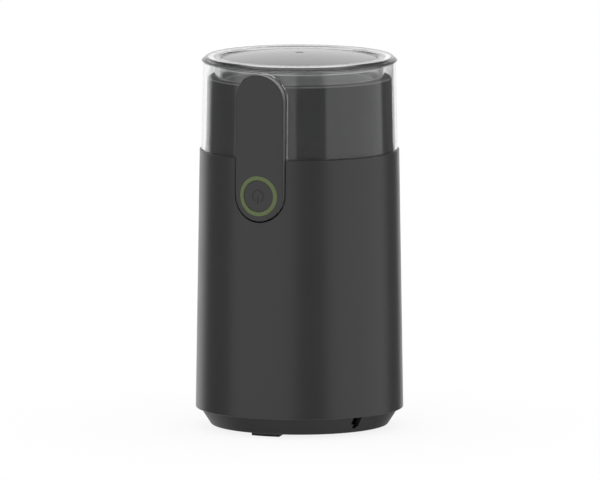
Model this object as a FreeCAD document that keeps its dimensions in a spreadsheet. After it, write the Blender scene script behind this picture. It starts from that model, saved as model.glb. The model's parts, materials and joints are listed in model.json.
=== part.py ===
"""Electric spice grinder: body, clear lid, grinding bowl, motor and switches.

Millimetres, +Z up. The origin is the centre of the feet's resting plane, and the front,
where the power button is, faces -Y. Angles round the body count from the front towards +X.
"""
import FreeCAD
import Part
import math
import os
import re
import Sketcher
from FreeCAD import Placement, Rotation, Vector

# Driving sizes, in millimetres and degrees. A name's last word says what it is.
SIZES = {
    # Feet
    "foot_height": 1.4,
    "foot_pocket_depth": 1.2,
    "foot_inset": 1.6,
    "foot_width": 8.0,
    "foot_sweep": 20.0,
    "foot_clearance": 0.15,
    "foot_clearance_sweep": 0.5,
    "foot_rounding": 0.4,
    # Base cover
    "base_rise": 8.2,
    "base_slope": 5.3,
    "base_inset": 2.1,
    "base_floor_thickness": 2.4,
    "base_wall": 2.0,
    "base_spigot_rise": 5.0,
    "base_spigot_clearance": 0.3,
    "base_rounding": 1.0,
    "base_boss_radius": 4.5,
    "base_boss_rise": 8.2,
    "base_screw_count": 3,
    "vent_count": 12,
    "vent_width": 2.2,
    "vent_inner_radius": 14.0,
    "vent_outer_radius": 27.0,
    "notch_bearing": 60.0,
    "notch_width": 4.8,
    "notch_sill": 2.3,
    "notch_step_width": 1.5,
    "notch_step_rise": 2.1,
    "notch_bevel": 1.2,
    # Body shell
    "body_rise": 125.1,
    "body_bottom_radius": 50.0,
    "body_taper": 2.0,
    "body_wall": 2.2,
    "body_top_thickness": 2.0,
    "body_bottom_rounding": 1.0,
    "body_top_rounding": 0.4,
    "body_boss_radius": 4.0,
    "body_boss_length": 16.0,
    "body_web_width": 3.0,
    # Collar and the bowl's well
    "collar_rise": 35.1,
    "shoulder_width": 3.0,
    "collar_draft": 0.7,
    "collar_rounding": 0.8,
    "sleeve_inset": 4.0,
    "sleeve_wall": 2.0,
    "sleeve_drop": 34.7,
    "sleeve_clearance": 0.2,
    "rim_thickness": 2.0,
    "rim_width": 7.3,
    "well_wall": 2.0,
    "well_clearance": 0.4,
    "well_rounding": 8.4,
    "well_outside_rounding": 10.0,
    "floor_thickness": 2.5,
    "clip_width_sweep": 16.0,
    "clip_bearing": 45.0,
    "clip_count": 4,
    "clip_height": 2.5,
    "clip_reach": 1.2,
    "clip_clearance": 0.05,
    # Bowl
    "bowl_recess": 2.4,
    "bowl_ledge": 1.0,
    "bowl_sheet": 0.8,
    "bowl_depth": 44.0,
    "bowl_draft": 1.1,
    "bowl_rounding": 8.0,
    "bowl_hole_radius": 9.0,
    "bowl_rim_clearance": 0.2,
    "gasket_thickness": 0.4,
    "gasket_outer_radius": 16.0,
    # Bush, nut and seal that close the bowl round the shaft
    "bush_clearance": 0.1,
    "bush_flange_radius": 12.0,
    "bush_flange_thickness": 2.0,
    "bush_bore_radius": 6.0,
    "bush_lip_radius": 3.6,
    "bush_length": 9.0,
    "bush_nut_radius": 12.4,
    "bush_nut_flat": 11.2,
    "bush_nut_thickness": 3.0,
    "seal_length": 6.0,
    # Blade and what holds it
    "blade_gap": 0.6,
    "blade_spacer_radius": 5.5,
    "blade_spacer_length": 3.5,
    "blade_thickness": 1.6,
    "blade_clearance": 4.7,
    "blade_lift_run": 10.0,
    "blade_lift": 3.5,
    "blade_width": 11.0,
    "blade_tip_width": 7.0,
    "blade_hub_radius": 6.5,
    "blade_bulge": 0.6,
    "washer_radius": 6.0,
    "washer_thickness": 1.0,
    "nut_radius": 5.4,
    "nut_height": 4.5,
    "nut_crown": 1.4,
    "nut_corner_radius": 6.2,
    "nut_shoulder_drop": 1.8,
    "nut_tip_radius": 1.8,
    # Front panel
    "panel_half_width": 12.55,
    "panel_drop": 29.7,
    "panel_rise": 40.9,
    "panel_depth": 3.9,
    "panel_sleeve_gap": 1.3,
    "panel_gap": 0.75,
    "panel_sweep": 60.0,
    "panel_rounding": 0.4,
    "panel_boss_clearance": 0.5,
    "panel_boss_reach": 0.6,
    "peg_radius": 2.0,
    "peg_clearance": 0.05,
    "peg_stand": 1.0,
    "peg_low": 8.0,
    "peg_high": 30.0,
    # Button and its ring
    "button_drop": 17.5,
    "button_radius": 7.6,
    "button_face_recess": 0.25,
    "button_clearance": 0.1,
    "button_cap_depth": 3.2,
    "button_skirt_radius": 6.4,
    "button_flange_radius": 8.9,
    "button_flange_thickness": 1.0,
    "button_stem_radius": 2.0,
    "ring_radius": 9.7,
    "ring_clearance": 0.05,
    "ring_flange_radius": 11.3,
    "ring_flange_thickness": 1.0,
    "symbol_radius": 3.2,
    "symbol_line": 0.6,
    "symbol_depth": 0.25,
    "symbol_opening": 70.0,
    "symbol_bar_start": 0.5,
    "symbol_bar_end": 3.5,
    # Pulse switch, its bracket and the button's spring
    "button_travel": 1.5,
    "button_stop_gap": 0.3,
    "switch_width": 19.8,
    "switch_height": 6.4,
    "switch_depth": 10.2,
    "switch_tab_reach": 3.0,
    "switch_tab_thickness": 0.8,
    "plunger_radius": 1.0,
    "plunger_clearance": 0.05,
    "plunger_length": 3.5,
    "plunger_hole_depth": 5.5,
    "plunger_stand": 1.5,
    "bracket_plate": 1.0,
    "bracket_arm": 1.5,
    "bracket_tab": 2.0,
    "bracket_tab_length": 9.0,
    "bracket_tab_width": 6.3,
    "bracket_hole_depth": 2.0,
    "bracket_tab_back": 17.0,
    "bracket_screw_offset": 8.4,
    "bracket_clearance": 0.1,
    "spring_gap": 0.1,
    "button_spring_radius": 4.5,
    "button_spring_wire": 0.7,
    "button_spring_turns": 4,
    # Lid
    "lid_rise": 44.8,
    "lid_inset": 0.75,
    "lid_draft": 1.0,
    "lid_wall": 1.7,
    "lid_lip_reach": 1.01,
    "lid_lip_drop": 2.0,
    "lid_lip_under": 0.6,
    "lid_lip_width": 2.66,
    "lid_face_rounding": 0.7,
    "lid_face_fall": 0.3,
    "lid_roof": 2.2,
    "lid_skirt_outset": 3.7,
    "lid_skirt_wall": 2.2,
    "lid_skirt_gap": 0.3,
    "lid_cut_gap": 0.8,
    "lid_plate": 2.0,
    "lid_recess_inset": 1.5,
    "lid_recess_depth": 1.0,
    # Disc in the lid's top
    "disc_inset": 1.8,
    "disc_clearance": 0.15,
    "disc_edge": 1.0,
    "disc_crown": 2.6,
    "disc_wall": 1.6,
    "disc_dimple_radius": 2.1,
    "disc_dimple_depth": 0.2,
    # Lid interlock
    "rod_outset": 3.8,
    "rod_radius": 1.2,
    "rod_clearance": 0.1,
    "rod_gap": 0.05,
    "rod_flange_radius": 1.9,
    "rod_flange_thickness": 1.0,
    "rod_flange_drop": 16.8,
    "guide_height": 4.0,
    "guide_half_width": 3.0,
    "rod_spring_radius": 1.75,
    "rod_spring_wire": 0.4,
    "rod_spring_turns": 6,
    "rod_spring_length": 6.0,
    "interlock_width": 12.8,
    "interlock_depth": 5.8,
    "interlock_height": 6.5,
    "interlock_inset": 1.4,
    "interlock_drop": 45.8,
    "shelf_thickness": 2.0,
    "shelf_half_width": 7.0,
    # Motor mounts
    "mount_count": 3,
    "mount_bearing": 60.0,
    "mount_circle": 21.0,
    "mount_boss_radius": 4.0,
    "mount_boss_length": 13.5,
    "grommet_radius": 5.0,
    "grommet_groove": 1.6,
    "grommet_lip": 1.5,
    "grommet_clearance": 0.1,
    # Motor
    "yoke_wall": 4.5,
    "bracket_thickness": 2.5,
    "bracket_overhang": 0.7,
    "bracket_bore_clearance": 0.2,
    "upper_air_circle": 15.75,
    "bracket_hub_radius": 8.5,
    "upper_hub_drop": 4.5,
    "upper_hub_rise": 3.5,
    "bearing_radius": 6.0,
    "bearing_clearance": 0.05,
    "bearing_length": 9.0,
    "bearing_shelf": 1.0,
    "shaft_radius": 3.0,
    "shaft_clearance": 0.03,
    "running_clearance": 0.05,
    "shaft_tail": 1.0,
    "fan_gap": 1.5,
    "fan_height": 7.0,
    "fan_radius": 19.5,
    "fan_plate": 1.4,
    "fan_hub_radius": 6.0,
    "fan_blade_count": 11,
    "fan_blade_thickness": 1.2,
    "coil_fan_gap": 2.0,
    "coil_end": 8.0,
    "stator_length": 24.0,
    "yoke_inner_radius": 21.5,
    "coil_depth": 4.9,
    "shoe_thickness": 2.0,
    "window_sweep": 130.0,
    "shoe_gap_sweep": 30.0,
    "coil_clearance": 0.4,
    "coil_sweep": 120.0,
    "coil_neck_sweep": 54.0,
    "armature_gap": 0.6,
    "armature_slot_count": 12,
    "armature_slot_width": 3.0,
    "armature_core_radius": 7.0,
    "winding_end": 5.0,
    "winding_inset": 1.4,
    "winding_clearance": 0.1,
    "commutator_gap": 1.0,
    "commutator_length": 12.0,
    "commutator_radius": 9.5,
    "commutator_slot_width": 0.6,
    "commutator_slot_depth": 1.2,
    "lower_bracket_gap": 4.0,
    "lower_bracket_thickness": 3.0,
    "lower_hub_length": 10.0,
    "lower_bearing_length": 8.0,
    "post_radius": 2.75,
    "air_opening_across": 10.4,
    "air_opening_along": 9.4,
    "air_opening_radius": 5.0,
    "bolt_inset": 2.25,
    "motor_bolt_bearing": 25.0,
    "motor_bolt_radius": 1.5,
    "motor_bolt_clearance": 0.1,
    "bolt_head_radius": 3.0,
    "bolt_head_height": 2.2,
    # Brushes
    "brush_width": 6.2,
    "brush_height": 5.2,
    "brush_length": 9.4,
    "brush_gap": 0.1,
    "brush_drop": 6.6,
    "brush_clearance": 0.1,
    "brush_tube_wall": 0.6,
    "brush_tube_gap": 1.5,
    "brush_tube_length": 14.4,
    "brush_spring_radius": 1.9,
    "brush_spring_wire": 0.5,
    "brush_spring_turns": 4,
    # Screws
    "screw_radius": 1.45,
    "screw_hole_radius": 1.55,
    "screw_head_radius": 2.9,
    "screw_head_height": 2.2,
    "screw_head_rounding": 0.9,
    "screw_slot_width": 0.6,
    "screw_head_clearance": 0.3,
    "base_screw_length": 16.0,
    "mount_screw_length": 14.0,
    "bracket_screw_length": 3.8,
    # Electrical pieces
    "terminal_length": 16.0,
    "terminal_width": 10.0,
    "terminal_height": 9.0,
    "terminal_inset": 12.5,
    "terminal_screw_radius": 2.0,
    "terminal_screw_spacing": 8.0,
    "terminal_screw_depth": 4.0,
    "capacitor_length": 18.0,
    "capacitor_width": 8.0,
    "capacitor_height": 14.0,
    "capacitor_inset": 13.5,
    "capacitor_rounding": 1.0,
    "cutout_radius": 2.2,
    "cutout_length": 9.0,
    "cutout_gap": 0.1,
    # Leads inside the body
    "lead_radius": 0.8,
    "lead_bend": 5.0,
    "lead_gap": 0.05,
    "lead_level": 109.5,
    "lead_circle": 33.0,
    "link_lead_bearing": 310.0,
    "motor_lead_bearing": 133.0,
}

# Sizes and places that follow from the driving sizes, each written in their names.
DERIVED = {
    "body_top_radius": "body_bottom_radius - body_taper",
    "base_floor_radius": "base_top_radius - base_slope",
    "base_top_radius": "body_bottom_radius - base_inset",
    "foot_outer_radius": "base_floor_radius - foot_inset",
    "foot_inner_radius": "foot_outer_radius - foot_width",
    "base_screw_circle": "foot_outer_radius - foot_width / 2",
    "sleeve_radius": "body_top_radius - sleeve_inset",
    "collar_foot_radius": "body_top_radius - shoulder_width",
    "collar_rim_radius": "collar_foot_radius - collar_draft",
    "mouth_radius": "collar_rim_radius - rim_width",
    "blade_radius": "well_foot_radius - well_clearance - bowl_sheet - blade_clearance",
    "blade_flat_radius": "blade_radius - blade_lift_run",
    "panel_back_radius": "sleeve_radius + panel_sleeve_gap",
    "panel_face_radius": "panel_back_radius + panel_depth",
    "panel_boss_back": "sleeve_radius - panel_boss_reach",
    "peg_end": "sleeve_inner_radius - peg_stand",
    "button_cap_back": "panel_face_radius - button_cap_depth",
    "switch_face": "button_flange_back - button_travel - button_stop_gap - bracket_plate",
    "lid_foot_radius": "body_top_radius - lid_inset",
    "lid_neck_radius": "lid_foot_radius - lid_draft",
    "lid_lip_radius": "lid_neck_radius + lid_lip_reach",
    "lid_face_radius": "lid_lip_radius - lid_lip_width",
    "lid_skirt_radius": "mouth_radius + lid_skirt_outset",
    "lid_cut_start": "lid_skirt_radius + lid_cut_gap",
    "lid_recess_radius": "lid_skirt_radius - lid_recess_inset",
    "disc_radius": "lid_recess_radius - disc_inset",
    "rod_offset": "ledge_radius + rod_outset",
    "interlock_offset": "rod_offset - interlock_inset",
    "brush_tube_start": "commutator_radius + brush_tube_gap",
    "armature_radius": "bore_radius - armature_gap",
    "bracket_plate_radius": "bracket_radius + bracket_overhang",
    "winding_radius": "armature_radius - winding_inset",
    "grommet_neck_radius": "grommet_radius - grommet_groove",
    "capacitor_circle": "spigot_inner_radius - capacitor_inset",
    "terminal_circle": "spigot_inner_radius - terminal_inset",
    "motor_bolt_circle": "yoke_inner_radius + bolt_inset",
    "bracket_radius": "yoke_inner_radius + yoke_wall",
    "bore_radius": "shoe_radius - shoe_thickness",
    "shoe_radius": "yoke_inner_radius - coil_depth",
    "body_bottom": "foot_height + base_rise",
    "shoulder": "body_bottom + body_rise",
    "rim": "shoulder + collar_rise",
    "lid_top": "shoulder + lid_rise",
    "base_floor_top": "foot_height + base_floor_thickness",
    "foot_seat": "foot_height + foot_pocket_depth",
    "screw_seat": "foot_seat + screw_head_height + screw_head_clearance * 2",
    "base_boss_top": "base_floor_top + base_boss_rise",
    "spigot_radius": "body_bottom_radius - body_wall - base_spigot_clearance",
    "spigot_inner_radius": "spigot_radius - base_wall",
    "sleeve_bottom": "shoulder - sleeve_drop",
    "sleeve_inner_radius": "sleeve_radius - sleeve_wall",
    "bowl_seat": "rim - bowl_recess",
    "ledge_radius": "mouth_radius - bowl_ledge",
    "bowl_outer_radius": "ledge_radius - well_clearance",
    "bowl_floor_under": "bowl_seat - bowl_depth",
    "bowl_floor": "bowl_floor_under + bowl_sheet",
    "well_floor": "bowl_floor_under - gasket_thickness",
    "well_under": "well_floor - floor_thickness",
    "well_foot_radius": "ledge_radius - bowl_draft",
    "panel_bottom": "shoulder - panel_drop",
    "panel_top": "shoulder + panel_rise",
    "button_level": "shoulder - button_drop",
    "slot_half_width": "panel_half_width + panel_gap",
    "slot_bottom": "panel_bottom - panel_gap",
    "slot_top": "panel_top + panel_gap",
    "sleeve_hole_radius": "panel_boss_radius + panel_boss_clearance",
    "panel_boss_radius": "panel_half_width - panel_rounding",
    "ring_hole_radius": "ring_radius + ring_clearance",
    "ring_bore_radius": "button_radius + button_clearance",
    "ring_flange_back": "panel_boss_back - ring_flange_thickness",
    "button_flange_front": "ring_flange_back - button_clearance",
    "button_flange_back": "button_flange_front - button_flange_thickness",
    "plunger_front": "switch_face + plunger_stand",
    "stem_end": "plunger_front + rod_gap",
    "plate_front": "switch_face + bracket_plate",
    "lid_plate_top": "lid_top - lid_recess_depth - disc_edge",
    "lid_plate_under": "lid_plate_top - lid_plate",
    "lid_lip_level": "lid_top - lid_lip_drop",
    "lid_skirt_end": "rim + lid_skirt_gap",
    "shelf_top": "rim - interlock_drop - interlock_height",
    "interlock_top": "shelf_top + interlock_height",
    "rod_foot": "interlock_top + plunger_stand + rod_gap",
    "rod_top": "lid_skirt_end - rod_gap",
    "rod_flange_under": "rim - rod_flange_drop - rod_flange_thickness",
    "guide_top": "rod_flange_under - rod_spring_length",
    "mount_boss_end": "well_under - mount_boss_length",
    "bracket_top": "mount_boss_end - grommet_lip",
    "bracket_under": "bracket_top - bracket_thickness",
    "upper_hub_under": "bracket_under - upper_hub_drop",
    "upper_hub_top": "bracket_top + upper_hub_rise",
    "fan_top": "upper_hub_under - fan_gap",
    "fan_under": "fan_top - fan_height",
    "stator_top": "fan_under - coil_fan_gap - coil_end",
    "stator_under": "stator_top - stator_length",
    "winding_under": "stator_under - winding_end",
    "commutator_top": "winding_under - commutator_gap",
    "commutator_under": "commutator_top - commutator_length",
    "brush_level": "commutator_top - brush_drop",
    "lower_bracket_top": "commutator_under - lower_bracket_gap",
    "lower_bracket_under": "lower_bracket_top - lower_bracket_thickness",
    "lower_hub_under": "lower_bracket_top - lower_hub_length",
    "shaft_bottom": "lower_hub_under - shaft_tail",
    "bore_on_shaft": "shaft_radius + shaft_clearance",
    "bracket_bore": "shaft_radius + shaft_clearance + bracket_bore_clearance",
    "spacer_under": "bowl_floor + bush_flange_thickness + blade_gap",
    "blade_under": "spacer_under + blade_spacer_length",
    "washer_under": "blade_under + blade_thickness",
    "nut_under": "washer_under + washer_thickness",
    "nut_top": "nut_under + nut_height",
    "shaft_top": "nut_top - nut_crown",
    "brush_front": "commutator_radius + brush_gap",
    "brush_back": "brush_front + brush_length",
    "brush_tube_end": "brush_tube_start + brush_tube_length",
    "tube_half_width": "brush_width / 2 + brush_clearance + brush_tube_wall",
    "tube_half_height": "brush_height / 2 + brush_clearance + brush_tube_wall",
}

WORD = re.compile(r"[a-z][a-z0-9_]*")

doc = FreeCAD.newDocument("SpiceGrinder")
sheet = doc.addObject("Spreadsheet::Sheet", "Sizes")
pieces = {}


def fill_sheet():
    """One row for each driving size: its name, its number and its alias."""
    for row, (name, number) in enumerate(SIZES.items(), 1):
        sheet.set(f"A{row}", name)
        sheet.set(f"B{row}", str(number))
        sheet.setAlias(f"B{row}", name)
    doc.recompute()


def written_out(expression):
    """The expression with each name replaced by its cell, or by the formula it stands for."""
    def one_word(match):
        word = match.group(0)
        if word in DERIVED:
            return "(" + written_out(DERIVED[word]) + ")"
        if word in SIZES:
            return "Sizes." + word
        return word
    return WORD.sub(one_word, expression)


def size(expression):
    """The expression's value as a plain number."""
    return float(sheet.evalExpression(written_out(expression)))


def bind(thing, member, expression):
    thing.setExpression(member, written_out(expression))


def new_body(label):
    body = doc.addObject("PartDesign::Body", label)
    body.Label = label
    pieces[label] = body
    return body


def origin_part(body, role):
    return next(part for part in body.Origin.OriginFeatures if part.Role == role)


def new_sketch(body, name, plane, offset="0", bearing=None):
    """A sketch on one of the body's planes, moved out along its normal, or turned about Z."""
    sketch = body.newObject("Sketcher::SketchObject", name)
    sketch.AttachmentSupport = [(origin_part(body, plane), "")]
    sketch.MapMode = "FlatFace"
    if bearing is None:
        bind(sketch, "AttachmentOffset.Base.z", offset)
    else:
        sketch.AttachmentOffset = Placement(Vector(), Rotation(Vector(0, 1, 0), size(bearing)))
        bind(sketch, "AttachmentOffset.Rotation.Angle", bearing)
    return sketch


def fix_point(sketch, curve, point, x, y):
    """Ties one point of the sketch to its distances from the origin, or to an axis."""
    for kind, expression, axis in (("DistanceX", x, -2), ("DistanceY", y, -1)):
        if expression == "0":
            sketch.addConstraint(Sketcher.Constraint("PointOnObject", curve, point, axis))
            continue
        number = sketch.addConstraint(
            Sketcher.Constraint(kind, -1, 1, curve, point, size(expression)))
        bind(sketch, f"Constraints[{number}]", expression)


def crowned_arc(start, end):
    """The arc through both points whose centre lies on the sketch's vertical axis."""
    (x1, y1), (x2, y2) = start, end
    level = (x1 ** 2 + y1 ** 2 - x2 ** 2 - y2 ** 2) / (2 * (y1 - y2))
    angles = sorted((math.atan2(y1 - level, x1), math.atan2(y2 - level, x2)))
    whole = Part.Circle(Vector(0, level, 0), Vector(0, 0, 1), math.hypot(x1, y1 - level))
    return Part.ArcOfCircle(whole, *angles)


def outline(sketch, corners):
    """A closed outline. A corner that ends in "crown" starts an arc centred on the axis."""
    first = sketch.GeometryCount
    places = [(size(corner[0]), size(corner[1])) for corner in corners]
    starts = []
    ends = []
    for index, corner in enumerate(corners):
        here, there = places[index], places[(index + 1) % len(corners)]
        if len(corner) == 3:
            arc = crowned_arc(here, there)
            number = sketch.addGeometry(arc, False)
            made = sketch.Geometry[number]
            forward = made.StartPoint.distanceToPoint(Vector(*here, 0)) < 1e-6
            starts.append((number, 1 if forward else 2))
            ends.append((number, 2 if forward else 1))
            sketch.addConstraint(Sketcher.Constraint("PointOnObject", number, 3, -2))
        else:
            number = sketch.addGeometry(
                Part.LineSegment(Vector(*here, 0), Vector(*there, 0)), False)
            starts.append((number, 1))
            ends.append((number, 2))
    for index in range(len(corners)):
        following = starts[(index + 1) % len(corners)]
        sketch.addConstraint(Sketcher.Constraint("Coincident", *ends[index], *following))
    for start, corner in zip(starts, corners):
        fix_point(sketch, start[0], start[1], corner[0], corner[1])
    return first


def circle(sketch, x, y, radius):
    number = sketch.addGeometry(
        Part.Circle(Vector(size(x), size(y), 0), Vector(0, 0, 1), size(radius)), False)
    fix_point(sketch, number, 3, x, y)
    bound = sketch.addConstraint(Sketcher.Constraint("Radius", number, size(radius)))
    bind(sketch, f"Constraints[{bound}]", radius)


def box_outline(sketch, left, bottom, right, top):
    outline(sketch, [(left, bottom), (right, bottom), (right, top), (left, top)])


def rounded_slot(sketch, half_width, bottom, top, round_bottom=True, round_top=True):
    """An upright slot about the sketch's vertical axis, with a half circle at its ends."""
    low = f"{bottom} + {half_width}" if round_bottom else bottom
    high = f"{top} - {half_width}" if round_top else top
    wide, y1, y2 = size(half_width), size(low), size(high)
    right = sketch.addGeometry(Part.LineSegment(Vector(wide, y1, 0), Vector(wide, y2, 0)), False)
    left = sketch.addGeometry(Part.LineSegment(Vector(-wide, y2, 0), Vector(-wide, y1, 0)), False)
    fix_point(sketch, right, 1, half_width, low)
    fix_point(sketch, right, 2, half_width, high)
    fix_point(sketch, left, 1, f"-({half_width})", high)
    fix_point(sketch, left, 2, f"-({half_width})", low)
    ends = ((right, left, high, 0, round_top), (left, right, low, math.pi, round_bottom))
    for before, after, level, turn, is_round in ends:
        middle = Vector(0, size(level), 0)
        if is_round:
            whole = Part.Circle(middle, Vector(0, 0, 1), wide)
            end = sketch.addGeometry(Part.ArcOfCircle(whole, turn, turn + math.pi), False)
        else:
            side = Vector(wide * math.cos(turn), 0, 0)
            end = sketch.addGeometry(Part.LineSegment(middle + side, middle - side), False)
        sketch.addConstraint(Sketcher.Constraint("Coincident", before, 2, end, 1))
        sketch.addConstraint(Sketcher.Constraint("Coincident", end, 2, after, 1))
        if is_round:
            number = sketch.addConstraint(
                Sketcher.Constraint("DistanceY", -1, 1, end, 3, size(level)))
            bind(sketch, f"Constraints[{number}]", level)


def turned(body, name, corners, plane="XZ_Plane", sweep=None, cut=False):
    """The outline turned about the body's axis; with a sweep, evenly to both sides."""
    sketch = new_sketch(body, name + "_outline", plane)
    outline(sketch, corners)
    kind = "PartDesign::Groove" if cut else "PartDesign::Revolution"
    feature = body.newObject(kind, name)
    feature.Profile = sketch
    feature.ReferenceAxis = (sketch, ["V_Axis"])
    if sweep is None:
        feature.Angle = 360
    else:
        feature.Midplane = True
        bind(feature, "Angle", sweep)
    return feature


def extruded(body, name, draw, plane, length, offset="0", bearing=None, cut=False,
             along_normal=True, both_ways=False):
    """A pad or a pocket of what draw puts in the sketch."""
    sketch = new_sketch(body, name + "_outline", plane, offset, bearing)
    draw(sketch)
    feature = body.newObject("PartDesign::Pocket" if cut else "PartDesign::Pad", name)
    feature.Profile = sketch
    bind(feature, "Length", length)
    if both_ways:
        feature.SideType = "Symmetric"
    feature.Reversed = along_normal if cut else not along_normal
    return feature


def repeated(body, features, count):
    """The features copied evenly round the body's axis."""
    pattern = body.newObject("PartDesign::PolarPattern", features[0].Name + "_round")
    pattern.Originals = features
    pattern.Axis = (origin_part(body, "Z_Axis"), [""])
    pattern.Angle = 360
    bind(pattern, "Occurrences", count)
    body.Tip = pattern
    return pattern


def rings_at(shape, places):
    """Names of the round edges about the Z axis at the given radii and heights."""
    names = []
    for number, edge in enumerate(shape.Edges, 1):
        curve = edge.Curve
        if curve.TypeId != "Part::GeomCircle":
            continue
        for radius, height in places:
            if abs(curve.Radius - size(radius)) < 1e-4 and abs(curve.Center.z - size(height)) < 1e-4:
                names.append(f"Edge{number}")
    return names


def rounded(body, name, places, radius, names=None):
    """A fillet on the round edges at the given places, or on the edges named."""
    doc.recompute()
    base = body.Tip
    found = names if names is not None else rings_at(base.Shape, places)
    feature = body.newObject("PartDesign::Fillet", name)
    feature.Base = (base, found)
    bind(feature, "Radius", radius)
    return feature


def placed(thing, x="0", y="0", z="0"):
    for member, expression in (("x", x), ("y", y), ("z", z)):
        bind(thing, f"Placement.Base.{member}", expression)
    return thing


def at_bearing(body, bearing):
    """Turns a body that was drawn at the front to its own bearing."""
    bind(body, "Placement.Rotation.Angle", bearing)
    return body


def group(label, bodies):
    """Identical pieces kept as one node of separate solids."""
    compound = doc.addObject("Part::Compound", label)
    compound.Label = label
    compound.Links = bodies
    for body in bodies:
        pieces.pop(body.Label)
    pieces[label] = compound


def keep_inside(body, name, radius, level, reach):
    """Cuts away what stands outside an upright cylinder about the body's axis."""
    low, high = f"{level} - {reach}", f"{level} + {reach}"
    far = f"{radius} + {reach}"
    turned(body, name, [(radius, low), (far, low), (far, high), (radius, high)], cut=True)


def make_base_cover():
    body = new_body("base_cover")
    turned(body, "base_shape", [
        ("0", "foot_height"), ("base_floor_radius", "foot_height"),
        ("base_top_radius", "body_bottom"), ("spigot_radius", "body_bottom"),
        ("spigot_radius", "body_bottom + base_spigot_rise"),
        ("spigot_inner_radius", "body_bottom + base_spigot_rise"),
        ("spigot_inner_radius", "body_bottom"),
        ("base_floor_radius - base_wall", "base_floor_top"), ("0", "base_floor_top")])
    rounded(body, "base_edge", [("base_floor_radius", "foot_height")], "base_rounding")
    boss = extruded(body, "screw_boss",
                    lambda s: circle(s, "0", "-base_screw_circle", "base_boss_radius"),
                    "XY_Plane", "base_boss_top - foot_seat", offset="foot_seat")
    inner, outer = "-(foot_inner_radius - foot_clearance)", "-(foot_outer_radius + foot_clearance)"
    pocket = turned(body, "foot_pocket", [
        (inner, "0"), (outer, "0"), (outer, "foot_seat"), (inner, "foot_seat")],
        plane="YZ_Plane", sweep="foot_sweep + foot_clearance_sweep * 2", cut=True)
    head = extruded(body, "screw_head_pocket",
                    lambda s: circle(s, "0", "-base_screw_circle",
                                     "screw_head_radius + screw_head_clearance"),
                    "XY_Plane", "screw_seat", cut=True)
    hole = extruded(body, "screw_hole",
                    lambda s: circle(s, "0", "-base_screw_circle", "screw_hole_radius"),
                    "XY_Plane", "base_boss_top + base_wall", cut=True)
    repeated(body, [boss, pocket, head, hole], "base_screw_count")
    vent = extruded(body, "vent",
                    lambda s: box_outline(s, "-vent_width / 2", "vent_inner_radius",
                                          "vent_width / 2", "vent_outer_radius"),
                    "XY_Plane", "base_floor_top + base_wall", cut=True)
    repeated(body, [vent], "vent_count")
    sill, top = "foot_height + notch_sill", "body_bottom"
    left, right = "-notch_width / 2", "notch_width / 2"
    extruded(body, "cord_notch", lambda s: outline(s, [
        (f"{left} + notch_step_width", sill), (f"{right} - notch_bevel", sill),
        (right, f"{sill} + notch_bevel"), (right, top), (left, top),
        (left, f"{sill} + notch_step_rise"),
        (f"{left} + notch_step_width", f"{sill} + notch_step_rise")]),
        "XZ_Plane", "body_bottom_radius", bearing="notch_bearing", cut=True)


def make_foot(label, bearing):
    body = new_body(label)
    inner, outer = "-foot_inner_radius", "-foot_outer_radius"
    turned(body, label + "_shape", [(inner, "0"), (outer, "0"), (outer, "foot_seat"),
                                    (inner, "foot_seat")], plane="YZ_Plane", sweep="foot_sweep")
    rounded(body, label + "_edge",
            [("foot_outer_radius", "0"), ("foot_inner_radius", "0")], "foot_rounding")
    at_bearing(body, bearing)


def make_screw(label, length, x, y, head_top, points_up=True):
    """A pan head screw with its head's seat at the given height."""
    body = new_body(label)
    turned(body, label + "_shape", [
        ("0", "-screw_head_height"), ("screw_head_radius", "-screw_head_height"),
        ("screw_head_radius", "0"), ("screw_radius", "0"), ("screw_radius", length),
        ("0", length)])
    rounded(body, label + "_crown", [("screw_head_radius", "-screw_head_height")],
            "screw_head_rounding")
    drive = extruded(body, label + "_drive",
                     lambda s: box_outline(s, "-screw_radius", "-screw_slot_width / 2",
                                           "screw_radius", "screw_slot_width / 2"),
                     "XY_Plane", "screw_head_height / 2", offset="-screw_head_height", cut=True)
    repeated(body, [drive], "4")
    return placed(body, x, y, head_top)


def round_place(circle_radius, bearing):
    """The place on a circle at a bearing from the front towards +X."""
    return f"{circle_radius} * sin({bearing})", f"-{circle_radius} * cos({bearing})"


def make_base_screws():
    screws = []
    for number in range(int(size("base_screw_count"))):
        x, y = round_place("base_screw_circle", f"360 / base_screw_count * {number}")
        screws.append(make_screw(f"base_screw_{number + 1}", "base_screw_length", x, y,
                                 "screw_seat"))
    group("base_screws", screws)


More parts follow.
